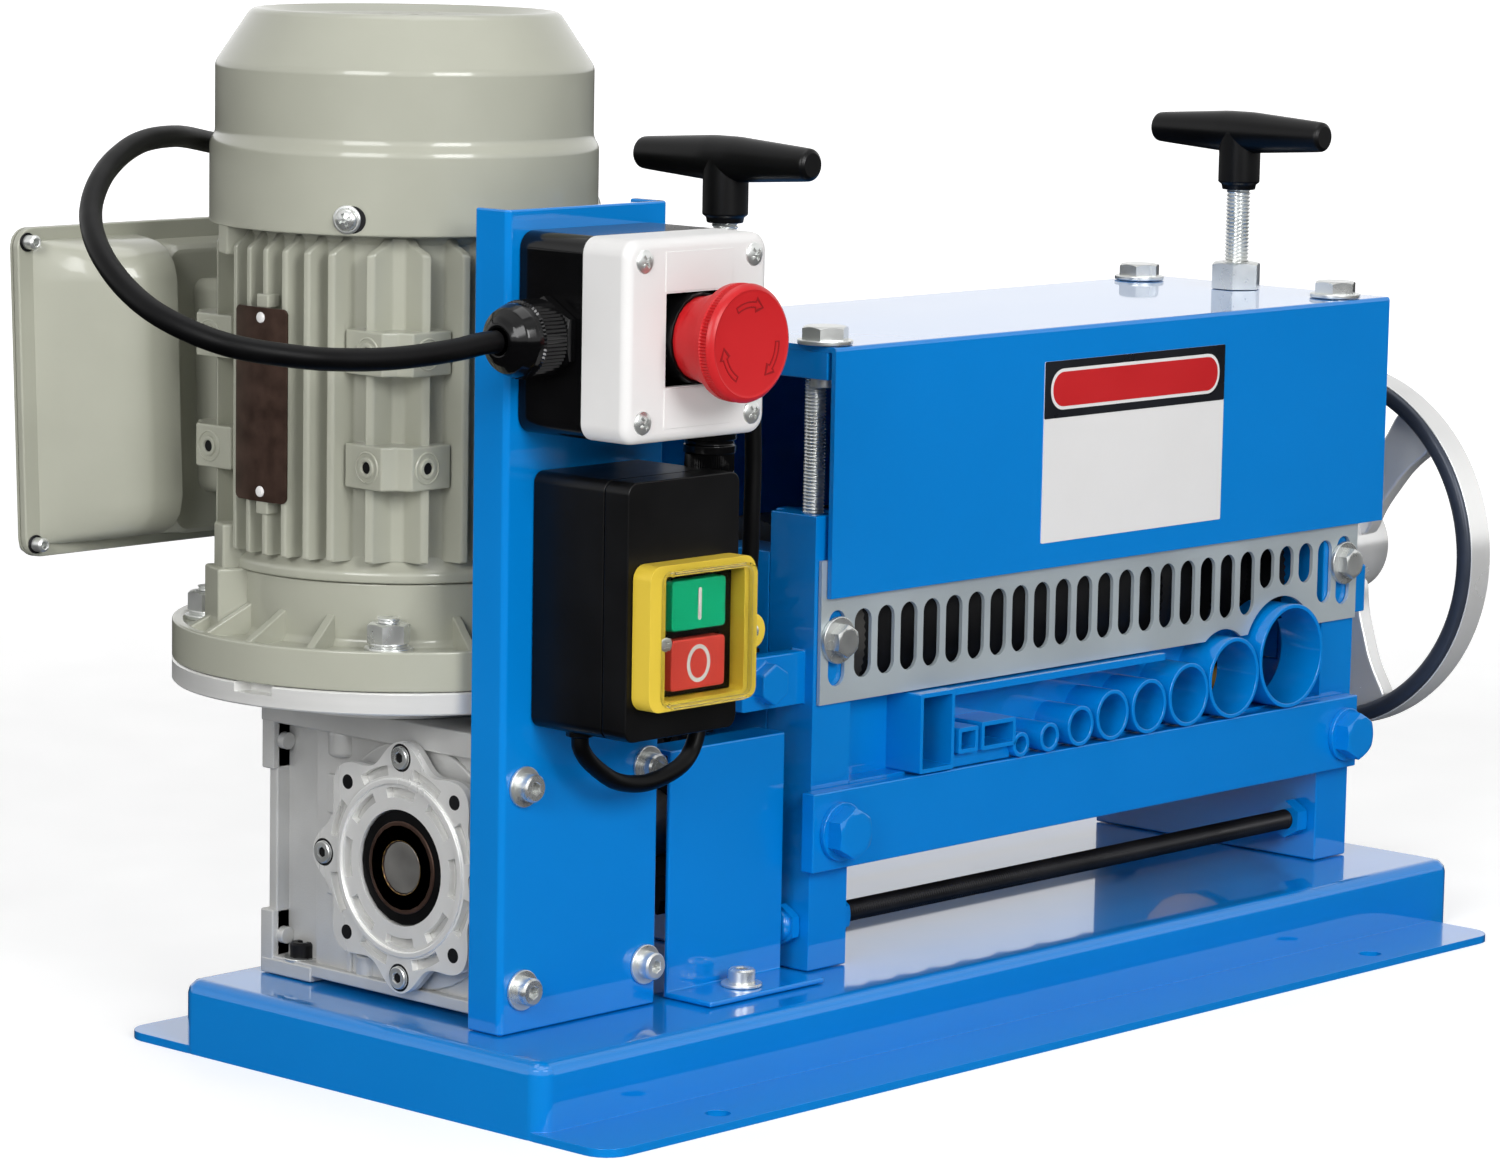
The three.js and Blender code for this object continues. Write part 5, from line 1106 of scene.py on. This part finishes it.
def motor_adapter():
    a = adapter
    low, high, edge, radius = a["low"], a["high"], a["edge"], a["radius"]
    levels = [(a["bore"], a["hub_low"], 0), (a["hub"], a["hub_low"], 0), (a["hub"], low, 0),
              (radius - edge, low, 0), (radius, low + edge, 0), (radius, a["slot_low"], 0),
              (radius, a["slot_low"], 1), (radius, high - edge, 1), (radius - edge, high, 1),
              (a["bore"], high, 0)]
    loops = []
    for reach, level, cut in levels:
        loop = []
        for i in range(a["sides"]):
            turn = 360 / a["sides"] * i
            off = (turn - a["slot"] + 180) % 360 - 180
            inside = cut and abs(off) < a["slot_half"]
            r = a["slot_radius"] if inside else reach
            loop.append(spot("z", motor, *polar(r, turn), level))
        loops.append(loop)
    fixed("motor_adapter_disc", "turned", loft(loops, True), stands_for=("motor_adapter",))


def shield_ribs():
    """Radial ribs that slope from the barrel down to the flange's edge."""
    s = shield
    inner, outer = s["barrel"] - 2, s["rib_outer"]
    corners = [(inner, s["floor"] - 1), (outer, s["floor"] - 1), (outer, s["flange"]),
               (s["barrel"], s["rib_top"]), (inner, s["rib_top"])]
    ribs = []
    for quarter in range(4):
        for offset in s["ribs"]:
            turn = math.radians(s["phase"] + 90 * quarter + offset)
            along = Vector((math.cos(turn), math.sin(turn), 0))
            across = Vector((-math.sin(turn), math.cos(turn), 0)) * s["rib"] / 2
            ribs.append(loft([[tuple(Vector((*motor, level)) + along * r + across * side)
                               for r, level in corners] for side in (-1, 1)]))
    fixed("end_shield_ribs", "grey", *ribs, bevel=s["rib_bevel"])


def shield_nuts():
    n, floor = flange_nut, shield["floor"]
    nuts = []
    for quarter in range(4):
        at = polar(shield["bolt"], shield["phase"] + 90 * quarter, motor)
        nuts += [washer("z", at, floor + rise, 1, radius, n["bore"], n["thick"])
                 for radius, rise in n["washers"]]
        nuts += [hex_body("z", at, floor + n["seat"], 1, n["flats"], n["height"],
                          n["stud_bore"]),
                 thread("z", at, n["stud"], floor, floor + n["reach"], n["pitch"],
                        n["depth"])]
    fixed("flange_nuts", "zinc", *nuts)


def end_shield():
    s = shield
    low, top, floor, barrel, bore = s["low"], s["flange"], s["floor"], s["barrel"], s["bore"]
    side, rise = s["fillet"]
    fixed("end_shield_body", "grey",
          lathe("z", motor, [(bore, low), (s["radius"], low), (s["radius"], top),
                             (s["lip"], top), (s["lip_foot"], floor), (barrel + side, floor),
                             (barrel, floor + rise), (barrel, s["top"]), (bore, s["top"])],
                s["soft"], sides=s["sides"]), stands_for=("motor_end_shield",))
    shield_ribs()
    shield_nuts()
    levels = [(floor, s["column_top"]), (s["column_top"], s["column_end"])]
    shapes = [box(inner, outer, -half, half, low + under, high)
              for (inner, outer, half, under), (low, high) in zip(s["column"], levels)]
    columns = [turned_shape(shape, turn, (*motor, 0)) for turn in s["columns"]
               for shape in shapes]
    fixed("shield_column", "grey", *columns, bevel=1)


def around(point, turn):
    """Point about the motor's axis, turned by whole degrees."""
    a, b = point
    return polar(math.hypot(a, b), math.degrees(math.atan2(b, a)) + turn, motor)


def fin_outline(tip):
    """Stator section: parallel fins on four sides and a heavier one beside each corner."""
    s = stator
    root, half, foot, corner = s["root"], s["fin"], s["fin_root"], s["corner"]
    tip = max(tip, s["corner_root"] + 0.1)
    end = [(s["corner_root"], corner + half), (tip, corner + half), (tip, corner - half),
           (root, corner - foot)]
    outline = []
    for i in range(4):
        quarter = [(radius, -across) for radius, across in end]
        for offset in s["offsets"][1 - i % 2:]:
            quarter += [(root, offset - foot), (tip, offset - half), (tip, offset + half),
                        (root, offset + foot)]
        quarter += reversed(end)
        outline += [around((math.sqrt(radius ** 2 - across ** 2), across), 90 * i)
                    for radius, across in quarter]
    return outline


def turned_shape(shape, turn, place=(0, 0, 0)):
    """Shape turned about the Z axis and moved."""
    points, faces = shape
    spin = Matrix.Translation(place) @ Matrix.Rotation(math.radians(turn), 4, "Z")
    return [tuple(spin @ Vector(point)) for point in points], faces


def stator_pads():
    """Corner pads with a ringed boss on each of their two faces; each boss's hole is a dark plug
    painted as shade.
    """
    p = pads
    face, near, far, notch, foot = (p[key] for key in ("face", "near", "far", "notch", "foot"))
    outline = [(face, near), (face, far), (notch, notch), (far, face), (near, face),
               (near, near + foot), (near + foot, near)]
    boss = lathe("x", (0, 0), p["ring"], p["ring_soft"], sides=48)
    # The hole is a near-black plug: painted shade inside the boss.
    hole = lathe("x", (0, 0), p["hole"], sides=32)
    blocks, bosses, holes = [], [], []
    for quarter in range(4):
        for level in p["levels"]:
            blocks.append(prism("z", [around(point, 90 * quarter) for point in outline],
                                level - p["half"], level + p["half"]))
            for turn, a, b in ((0, face, p["boss"]), (90, p["boss"], face)):
                at = (*around((a, b), 90 * quarter), level)
                bosses.append(turned_shape(boss, 90 * quarter + turn, at))
                holes.append(turned_shape(hole, 90 * quarter + turn, at))
    fixed("stator_pads", "grey", *blocks, bevel=p["bevel"])
    fixed("pad_bosses", "grey", *bosses)
    fixed("pad_holes_shade", "dark", *holes)


def stator_frame():
    s = stator
    fixed("stator_shell", "grey", lathe("z", motor, s["shell"], 1, True, 160),
          stands_for=("stator_frame",))
    loops = [[(a, b, level) for a, b in softened(fin_outline(tip), s["fin_soft"], 3, True)]
             for level, tip in s["ends"]]
    fixed("stator_fins", "grey", loft(loops))
    stator_pads()
    inner, outer, half, low = s["lug"]
    lug = box(inner, outer, -half, half, low, s["top"])
    lugs = [turned_shape(lug, turn, (*motor, 0)) for turn in shield["columns"]]
    fixed("cover_lugs", "grey", *lugs, bevel=1)


def motor_plate():
    """Bare name plate bent over the fins, with its rivets and their lugs."""
    p = name_plate
    corner, mean, low, high = p["corner"], (p["inner"] + p["outer"]) / 2, p["low"], p["high"]
    width = math.radians(p["last"] - p["first"]) * mean
    steps = [*p["steps"], corner]
    places = steps + [corner + (width - 2 * corner) * k / p["spans"]
                      for k in range(1, p["spans"])]
    places += [width - step for step in reversed(steps)]
    loops = []
    for place in places:
        edge = min(place, width - place, corner)
        inset = corner - math.sqrt(max(0, corner ** 2 - (corner - edge) ** 2))
        turn = p["first"] + math.degrees(place / mean)
        loops.append([(*polar(r, turn, motor), level) for r, level in
                      ((p["inner"], low + inset), (p["outer"], low + inset),
                       (p["outer"], high - inset), (p["inner"], high - inset))])
    fixed("motor_name_plate", "plate", loft(loops), bevel=p["bevel"])
    turn = p["rivet"]
    rivet = lathe("x", (0, 0), p["rivet_line"], 0.2, sides=32)
    below, above = p["rivet_in"]
    rivets = [turned_shape(rivet, turn, (*polar(p["outer"], turn, motor), level))
              for level in (low + below, high - above)]
    fixed("plate_rivets", "white", *rivets)
    inner, outer, half, rise = p["lug"]
    below, above = p["lug_out"]
    lugs = [turned_shape(box(inner, outer, -half, half, -rise, rise), turn, (*motor, level))
            for level in (low - below, high + above)]
    fixed("plate_lugs", "grey", *lugs, bevel=0.7)


def motor_fan_cover():
    c = fan_cover
    wall, top, lid, drum, skirt = c["wall"], c["top"], c["lid"], c["drum"], c["skirt"]
    dish, eye, ledge = top - c["dish"], c["eye"], c["skirt_top"]
    shell = lathe("z", motor, [
        (skirt - wall, c["low"]), (skirt, c["low"]), (skirt, ledge),
        (drum, ledge + c["ledge"]), (drum, c["shoulder"]), (lid + 0.6, top - 1),
        (lid - 2, top), (lid - 9, dish), (eye, dish), (eye, dish - wall),
        (lid - 8, dish - wall), (lid - 3, top - 3), (drum - wall, c["shoulder"]),
        (drum - wall, ledge), (skirt - wall, ledge - 2)], c["soft"], True, c["sides"])
    holes = []
    for radius, count in c["rings"]:
        holes += [circle(*polar(radius, 360 * i / count, motor), c["hole"], 16)
                  for i in range(count)]
    fixed("fan_cover_shell", "grey", shell, stands_for=("fan_cover",))
    fixed("fan_cover_grille", "grey",
          plate("z", circle(*motor, eye + 0.1, 96), holes, dish - wall, dish - STEP))
    level = c["screw_z"]
    for i, turn in enumerate(c["screws"]):
        place = (*polar(skirt, turn, motor), level)
        screw_washer = turned_shape(lathe("x", (0, 0), c["washer"], 0.2, sides=48), turn, place)
        fixed(f"fan_cover_screw_{i}", "zinc", screw_washer,
              radial_screw(turn, level, skirt + 0.8, *c["screw"]))
        # A dark disc behind each washer, set off to one side, is the painted shade in the screw's
        # hole.
        hole = lathe("x", (c["gap_side"], 0), c["gap"], c["gap_soft"], sides=48)
        fixed(f"fan_cover_hole_shade_{i}", "dark", turned_shape(hole, turn, place))


def radial_screw(turn, level, radius, size, height):
    """Domed cross-recess screw whose axis points out from the motor's axis."""
    points, faces = pan_screw("x", (0, 0), 0, 1, size, height)
    spin = Matrix.Rotation(math.radians(turn), 4, "Z")
    place = Matrix.Translation((*motor, level)) @ spin @ Matrix.Translation((radius - SUNK, 0, 0))
    return [tuple(place @ Vector(point)) for point in points], faces


output_cover()
gearbox_casing()
motor_adapter()
end_shield()
stator_frame()
motor_plate()
motor_fan_cover()


# Terminal box behind the motor
# Crest is the deep pan's section seen from above, and ends are pairs of distance and share
# of its depth. A section of the shallow pan is its Y, sides, heights and corner.
terminal = {"left": -33, "right": 107, "low": 148, "high": 263.5, "front": 228, "back": 231.2,
            "lid": 232.4, "corner": 7, "bevel": 0.7, "lean": -2.3, "pivot": (0, 228, 250),
            "seam_in": 0.8, "seam": 0.3, "seam_corner": 6.4, "pan_back": 0.3,
            "deep_low": 152, "deep_high": 259,
            "crest": ((-27, 228), (-24, 226), (-20, 222), (-15, 216), (-10, 210.5),
                      (-4, 205.7), (2, 203), (5, 202), (17, 202), (18, 203.4), (19, 205),
                      (19.6, 208), (20.5, 218), (21.5, 228)),
            "ends": ((0, 0.1), (0.6, 0.35), (2, 0.6), (4.5, 0.8), (9, 0.94), (15, 1)),
            "shallow": ((228.4, 25, 101.5, 151, 257, 6), (226.5, 25, 100.2, 151.6, 256.2, 6),
                        (217, 25, 99.4, 152, 255, 6), (215.4, 25, 98, 153.6, 253.4, 6),
                        (215, 26, 96, 155.2, 251.8, 5)),
            "entry": ((80, 221), 8, 246, 258, 1), "can_y": 218, "can": 9.5,
            "neck": (36, 84, 166.3, 243, 5), "neck_y": (196.3, 216)}
terminal_screw = {"sides": (4, 5), "ends": (4.6, 5), "stud": (2.5, 5.5, 2.4),
                  "ring": (3.3, 2, 0.8), "head": (3.2, 2)}


def leaned(shape):
    """Shape turned with the whole box, whose foot stands nearer the motor than its top."""
    points, faces = shape
    pivot = Vector(terminal["pivot"])
    lean = (Matrix.Translation(pivot) @ Matrix.Rotation(math.radians(terminal["lean"]), 4, "X")
            @ Matrix.Translation(-pivot))
    return [tuple(lean @ Vector(point)) for point in points], faces


def deep_pan():
    """Pan with a steep right side, a sloping left side and rounded ends."""
    t = terminal
    base = t["front"] + t["pan_back"]
    levels = [(t["deep_low"] + rise, share) for rise, share in t["ends"]]
    levels += [(t["deep_high"] - rise, share) for rise, share in reversed(t["ends"])]
    return loft([[(x, base - share * (base - y) if y < t["front"] else base, level)
                  for x, y in t["crest"]] for level, share in levels])


def terminal_box():
    t = terminal
    left, right, low, high = (t[key] for key in ("left", "right", "low", "high"))
    outline = rounded(left, right, low, high, t["corner"])
    fixed("terminal_flange", "grey", leaned(prism("y", outline, t["front"], t["back"])),
          bevel=t["bevel"], stands_for=("terminal_box",))
    inset = t["seam_in"]
    seam = rounded(left + inset, right - inset, low + inset, high - inset, t["seam_corner"])
    fixed("terminal_gasket", "rubber",
          leaned(prism("y", seam, t["back"] - SUNK, t["back"] + t["seam"])))
    fixed("terminal_cover", "grey",
          leaned(prism("y", outline, t["back"] + t["seam"] - SUNK, t["lid"])),
          stands_for=("terminal_box_lid",))
    shallow = loft([[(x, y, z) for x, z in rounded(*sizes, 8)] for y, *sizes in t["shallow"]])
    fixed("terminal_pans", "grey", leaned(deep_pan()), leaned(shallow),
          leaned(rod("z", *t["entry"])))
    foot, head = [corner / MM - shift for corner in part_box("run_capacitor")]
    can = rod("z", ((foot.x + head.x) / 2, t["can_y"]), t["can"], foot.z, head.z, 1)
    fixed("motor_capacitor", "white", leaned(can), stands_for=("run_capacitor",))
    fixed("terminal_neck", "grey", leaned(prism("y", rounded(*t["neck"]), *t["neck_y"])),
          bevel=1)
    s = terminal_screw
    heads, rings = [], []
    for x in (left + s["sides"][0], right - s["sides"][1]):
        for z in (low + s["ends"][0], high - s["ends"][1]):
            heads += [cap_screw("y", (x, z), t["front"], -1, *s["stud"]),
                      pan_screw("y", (x, z), t["lid"] - SUNK, 1, *s["head"])]
            rings.append(washer("y", (x, z), t["front"], -1, *s["ring"]))
    fixed("terminal_screws", "zinc", *[leaned(head) for head in heads])
    fixed("terminal_rings", "dark", *[leaned(shape) for shape in rings])


# Stop button: its line is inset from the head's radius, depth behind the face and rib share
stop = {"x": 57.5, "z": 239, "half": 34, "half_z": 33.75, "back": 8.4, "front": -12,
        "wall": 2.5, "corner": 6, "corner_share": 0.6, "inner_corner": 4, "window": 15.5,
        "window_corner": 0.4, "edge": 3.5, "edge_steps": 6, "face": -36, "stem": 14,
        "stem_end": -5.2, "neck": 14.9, "head": 19.7, "ribs": 108, "rib": 0.5,
        "line": ((1.3, 8.7, 0), (0.2, 7.8, 0), (0, 5.4, 0), (0.2, 5, 1), (0.2, 2.5, 1),
                 (0, 2.2, 0), (0.3, 1.4, 0), (1, 0.5, 0), (1.9, 0, 0), (2.8, 0.4, 0)),
        "screws_x": (-26, 26.5), "screws_z": (-26.5, 26.5), "screw": (4, 1.4, 35)}
stop_panel = {"half": 16, "proud": 0.25, "into": 0.5, "edge": 4.5, "window": 0.5,
              "bevel": 0.15}
stop_arrow = {"radius": 12.9, "reach": 24, "steps": 12, "half": 1.1, "bore": 0.65,
              "wide": 2.4, "wing": 0.75, "tip": 10, "middles": (97, 217, 337),
              "back": 0.25, "front": 0.7}


def stop_cover():
    """Cover with a square window, its front edges rounded over."""
    s = stop
    x, z, half, half_z, front, back, t = (s[key] for key in ("x", "z", "half", "half_z", "front",
                                                             "back", "wall"))
    w, edge = s["window"], s["edge"]

    def outline(inset, corner):
        return rounded(x - half + inset, x + half - inset, z - half_z + inset,
                       z + half_z - inset, corner)

    loops = [(outline(0, s["corner"]), back)]
    for k in range(s["edge_steps"] + 1):
        turn = math.radians(90 / s["edge_steps"] * k)
        inset = edge * (1 - math.cos(turn))
        loops.append((outline(inset, s["corner"] - inset * s["corner_share"]),
                      front + edge * (1 - math.sin(turn))))
    window = rounded(x - w, x + w, z - w, z + w, s["window_corner"])
    inner = outline(t, s["inner_corner"])
    loops += [(window, front), (window, front + t), (inner, front + t), (inner, back)]
    fixed("stop_cover", "white",
          loft([[(a, level, b) for a, b in line] for line, level in loops], True), bevel=0.01,
          stands_for=("estop_box_cover",))
    p = stop_panel
    panels = [box(x - p["half"], x + p["half"], front - p["proud"], front + p["into"], low, high)
              for low, high in ((z - half_z + p["edge"], z - w - p["window"]),
                                (z + w + p["window"], z + half_z - p["edge"]))]
    fixed("stop_cover_panel", "white", *panels, bevel=p["bevel"])
    radius, height, turn = s["screw"]
    screws = [pan_screw("y", (x + dx, z + dz), front + SUNK, -1, radius, height, turn)
              for dx in s["screws_x"] for dz in s["screws_z"]]
    fixed("stop_cover_screws", "zinc", *screws)


def stop_head():
    s = stop
    at, face, neck, ribs = (s["x"], s["z"]), s["face"], s["neck"], s["ribs"]
    profile = [(s["stem"], s["stem_end"], 0), (s["stem"], face + 17.7, 0),
               (neck, face + 17.6, 0), (neck, face + 9, 0)]
    profile += [(s["head"] - inset, face + depth, share) for inset, depth, share in s["line"]]
    profile.append((4, face + 0.4, 0))
    loops = [[spot("y", at, *polar(radius - s["rib"] * share * (k % 2), 180 * k / ribs), level)
              for k in range(2 * ribs)] for radius, level, share in profile]
    piece("stop_mushroom", "red", "stop_head", loft(loops), stands_for=("estop_head",))
    a = stop_arrow
    arrows = [plate("y", arrow(at, middle, a["half"]), [arrow(at, middle, a["bore"])],
                    face + a["back"], face + a["front"]) for middle in a["middles"]]
    piece("stop_arrows", "dark_red", "stop_head", *arrows)


def arrow(at, middle, half):
    """Outline of a plain arrow bent clockwise about a centre."""
    a = stop_arrow
    radius, reach, steps = a["radius"], a["reach"], a["steps"]
    grow = math.degrees((half - 1) / radius)
    turns = [middle + reach + grow - 2 * reach * k / steps for k in range(steps - 1)]
    back, tip = middle - reach * a["wing"], middle - reach - a["tip"] - 2 * grow
    return [*[polar(radius + half, turn, at) for turn in turns],
            polar(radius + a["wide"] * half, back, at), polar(radius, tip, at),
            polar(radius - a["wide"] * half, back, at),
            *[polar(radius - half, turn, at) for turn in reversed(turns)]]


# Cable glands: levels are along the gland's own axis
side_gland = {"at": (23, 238.5), "seat": 23.2, "flats": 24, "lock": 4.2, "ribs": 60,
              "rib": 0.45, "nut": ((19, 12.8), (18.2, 13.2), (9, 13.2), (8.2, 12.6)),
              "dome": ((12.4, 8.4), (12.2, 6), (10.8, 2.6), (8, 0.2), (6, -0.9), (4.6, -0.9),
                       (4.4, 1), (4.2, 8)), "dome_soft": 0.6}
closed_gland = {"at": (87.5, 10), "ribs": 60, "rib": 0.45,
                "collar": ((8, 205.6), (9.3, 205.2), (9.3, 201.5), (8.4, 201.2),
                           (8.4, 199.8), (9, 199.5), (9, 196.8), (7.8, 196.6)),
                "dome": ((197, 7.9, 0), (196.4, 8.5, 1), (191, 8.5, 1), (189, 7.6, 0.6),
                         (187.6, 6, 0.3), (187, 4.2, 0), (187, 2, 0))}


def ribbed(axis, gland, line):
    """Body with fine ribs; the line gives level, radius and share of the ribs."""
    turns = [180 * i / gland["ribs"] for i in range(2 * gland["ribs"])]
    return loft([[spot(axis, gland["at"],
                       *polar(radius - gland["rib"] * share * (i % 2), turn), level)
                  for i, turn in enumerate(turns)] for level, radius, share in line])


def gland():
    g = side_gland
    nut = ribbed("x", g, [(level, radius, 1) for level, radius in g["nut"]])
    fixed("gland_body", "gloss", hex_body("x", g["at"], g["seat"], -1, g["flats"], g["lock"]),
          nut, lathe("x", g["at"], g["dome"], g["dome_soft"]), stands_for=("cable_gland",))


def lower_gland():
    """Closed gland in the underside of the stop button box."""
    g = closed_gland
    fixed("lower_gland", "gloss", lathe("z", g["at"], g["collar"], 0.3),
          ribbed("z", g, g["dome"]))


# Push-button switch: sides and heights, then corner radius
switch = {"frame": (33.5, 84.5, 115.8, 164.8), "frame_corner": 5, "back": -6.9, "front": -15,
          "ear": (85, 138.4, 6), "ear_soft": 0.8, "bevel": 0.9,
          "window": (38.5, 81.5, 117, 163), "window_corner": 4, "window_front": -18.9,
          "window_back": -15.35, "wall": 1.2, "inner_corner": 3, "window_bevel": 0.4,
          "module": (41.1, 78.9, 119.1, 160.9), "module_corner": 1.5,
          "ear_screw": (2.4, 1, 10), "flush_screw": (2.4, 0.3, 40), "flush_x": 41.5}
# Marks: a plain bar on the start button and an oval ring on the stop button
marks = {"front": -12, "proud": 0.12, "bar": (59.4, 61, 144.6, 155.6, 0.78, 4),
         "oval": (60, 130), "ring": ((5.6, 6.4), (4.2, 5)), "steps": 64}


def switch_front():
    s = switch
    outline = rounded(*s["frame"], s["frame_corner"])
    hole = rounded(*s["module"], s["module_corner"])
    ex, ez, er = s["ear"]
    front, ear_front = s["front"], s["front"] + 1
    fixed("switch_bezel", "yellow", plate("y", outline, [hole], front, s["back"]),
          rod("y", (ex, ez), er, ear_front, s["back"], s["ear_soft"]), bevel=s["bevel"],
          stands_for=("switch_frame",))
    w0, w1, v0, v1 = s["window"]
    wall, clear, back = s["wall"], s["window_front"], s["window_back"]
    outer = rounded(w0, w1, v0, v1, s["window_corner"])
    inner = rounded(w0 + wall, w1 - wall, v0 + wall, v1 - wall, s["inner_corner"])
    fixed("switch_cover_clear", "clear",
          loft([[spot("y", (0, 0), a, b, level) for a, b in line]
                for line, level in ((inner, clear + wall), (inner, back), (outer, back),
                                    (outer, clear))]), bevel=s["window_bevel"],
          stands_for=("switch_window",))
    fixed("switch_screws", "zinc", pan_screw("y", (ex, ez), ear_front, -1, *s["ear_screw"]),
          pan_screw("y", (s["flush_x"], ez), front, -1, *s["flush_screw"]))


def button_marks():
    m = marks
    front, steps = m["front"], m["steps"]
    piece("start_mark", "white", "start_button",
          prism("y", rounded(*m["bar"]), front - m["proud"], front))
    x, z = m["oval"]
    turns = [2 * math.pi * k / steps for k in range(steps)]
    outer, inner = [[(x + wide * math.cos(t), z + tall * math.sin(t)) for t in turns]
                    for wide, tall in m["ring"]]
    piece("stop_mark", "white", "stop_button",
          plate("y", outer, [inner], front - m["proud"], front + SUNK))


# Screws on the control bracket and the coupling guard
panel_screw = {"at": ((28.5, 15), (88.5, 15), (28.5, 85), (88.5, 85)), "face": 37.9,
               "seat": 36.7, "head": (4.8, 4.8, 4), "washer": (7, 3.2, 1.2)}
guard_foot = {"at": (130, 30), "face": 2.4, "seat": 3.6, "head": (4.8, 5, 4),
              "washer": (7.3, 3.2, 1.2)}


def panel_screws():
    p, g = panel_screw, guard_foot
    for i, at in enumerate(p["at"]):
        fixed(f"panel_screw_{i}", "zinc", washer("y", at, p["face"], -1, *p["washer"]),
              cap_screw("y", at, p["seat"], -1, *p["head"]))
    fixed("guard_foot_screw", "zinc", washer("z", g["at"], g["face"], 1, *g["washer"]),
          cap_screw("z", g["at"], g["seat"], 1, *g["head"]))


terminal_box()
stop_cover()
stop_head()
gland()
lower_gland()
switch_front()
button_marks()
panel_screws()


# Light, floor and backdrop: lengths in metres in the frame's axes
stage = {"half": 30.0, "world": 0.15, "mirror": 1.2, "floor": (205, 205, 205),
         "floor_glow": 0.02, "near_lift": 0.52, "far_lift": 1.0, "fade": 2.2,
         "fade_from": 0.7}
# Brightness that reflections meet, by the height of the ray's direction
sky = {"low": (0.0, 0.6), "high": (0.97, 0.3),
       "between": ((0.04, 1.0), (0.35, 0.9), (0.6, 0.6), (0.84, 0.9))}
# Lamps: place, target, size and power in watts
lamps = {"key": ((-0.85, -2.5, 1.35), (0, 0, 0.12), (1.1, 1.1), 46),
         "fill": ((-2.5, -0.9, 1.3), (0, 0, 0.15), (1.2, 1.2), 36),
         "top": ((0, 0, 2.4), (0, 0, 0), (1.6, 1.6), 18)}


def area_light(name, place, target, size, power):
    data = bpy.data.lights.new(name, "AREA")
    data.shape = "RECTANGLE"
    data.size, data.size_y = size
    data.energy = power
    obj = added(name, data)
    obj.location = place
    way = Vector(target) - Vector(place)
    obj.rotation_euler = way.to_track_quat("-Z", "Y").to_euler()


def paths(nodes, links, ray, plain, other):
    """Other shader where a kind of ray arrives, plain shader elsewhere."""
    path = nodes.new("ShaderNodeLightPath")
    mixed = nodes.new("ShaderNodeMixShader")
    links.new(path.outputs[ray], mixed.inputs["Fac"])
    links.new(plain, mixed.inputs[1])
    links.new(other, mixed.inputs[2])
    return mixed.outputs["Shader"]


def floor_finish():
    """Pale floor that keeps its shadow, fades to white and mirrors little."""
    material = finish("studio_floor", screen(*stage["floor"]), 0.6, vary=0.0, relief=0.02)
    nodes, links = material.node_tree.nodes, material.node_tree.links
    shader, output = nodes["Principled BSDF"], nodes["Material Output"]
    glow = nodes.new("ShaderNodeEmission")
    put(glow, {"Strength": stage["floor_glow"]})
    place = nodes.new("ShaderNodeTexCoord")
    reach = nodes.new("ShaderNodeMapping")
    put(reach, {"Scale": (1 / stage["fade"],) * 3})
    ball = nodes.new("ShaderNodeTexGradient")
    ball.gradient_type = "SPHERICAL"
    near = nodes.new("ShaderNodeMapRange")
    put(near, {"From Max": stage["fade_from"], "To Min": stage["far_lift"],
               "To Max": stage["near_lift"]})
    links.new(place.outputs["Object"], reach.inputs["Vector"])
    links.new(reach.outputs["Vector"], ball.inputs["Vector"])
    links.new(ball.outputs["Fac"], near.inputs["Value"])
    path = nodes.new("ShaderNodeLightPath")
    lit = nodes.new("ShaderNodeMapRange")
    links.new(near.outputs["Result"], lit.inputs["To Max"])
    links.new(path.outputs["Is Camera Ray"], lit.inputs["Value"])
    put(shader, {"Emission Color": (1, 1, 1, 1)})
    links.new(lit.outputs["Result"], shader.inputs["Emission Strength"])
    links.new(paths(nodes, links, "Is Glossy Ray", shader.outputs["BSDF"],
                    glow.outputs["Emission"]), output.inputs["Surface"])
    return material


def make_world():
    """Even light for matt faces; a graded sky for reflections."""
    world = bpy.data.worlds.new("studio")
    world.use_nodes = True
    nodes, links = world.node_tree.nodes, world.node_tree.links
    even, output = nodes["Background"], nodes["World Output"]
    put(even, {"Color": (1, 1, 1, 1), "Strength": stage["world"]})
    place = nodes.new("ShaderNodeTexCoord")
    split = nodes.new("ShaderNodeSeparateXYZ")
    ramp = nodes.new("ShaderNodeValToRGB")
    mirror = nodes.new("ShaderNodeBackground")
    links.new(place.outputs["Generated"], split.inputs["Vector"])
    links.new(split.outputs["Z"], ramp.inputs["Fac"])
    stops = ramp.color_ramp.elements
    for end, key in ((0, "low"), (1, "high")):
        stops[end].position, value = sky[key]
        stops[end].color = (value, value, value, 1)
    for position, value in sky["between"]:
        stop_at = stops.new(position)
        stop_at.color = (value, value, value, 1)
    links.new(ramp.outputs["Color"], mirror.inputs["Color"])
    put(mirror, {"Strength": stage["mirror"]})
    links.new(paths(nodes, links, "Is Glossy Ray", even.outputs["Background"],
                    mirror.outputs["Background"]), output.inputs["Surface"])
    bpy.context.scene.world = world


def make_stage():
    half = stage["half"]
    mesh = bpy.data.meshes.new("floor")
    mesh.from_pydata([(-half, -half, 0), (half, -half, 0), (half, half, 0), (-half, half, 0)],
                     [], [(0, 1, 2, 3)])
    mesh.materials.append(floor_finish())
    added("floor", mesh)
    make_world()
    for name, values in lamps.items():
        area_light(name, *values)


make_stage()
bpy.context.scene.view_settings.view_transform = "Standard"
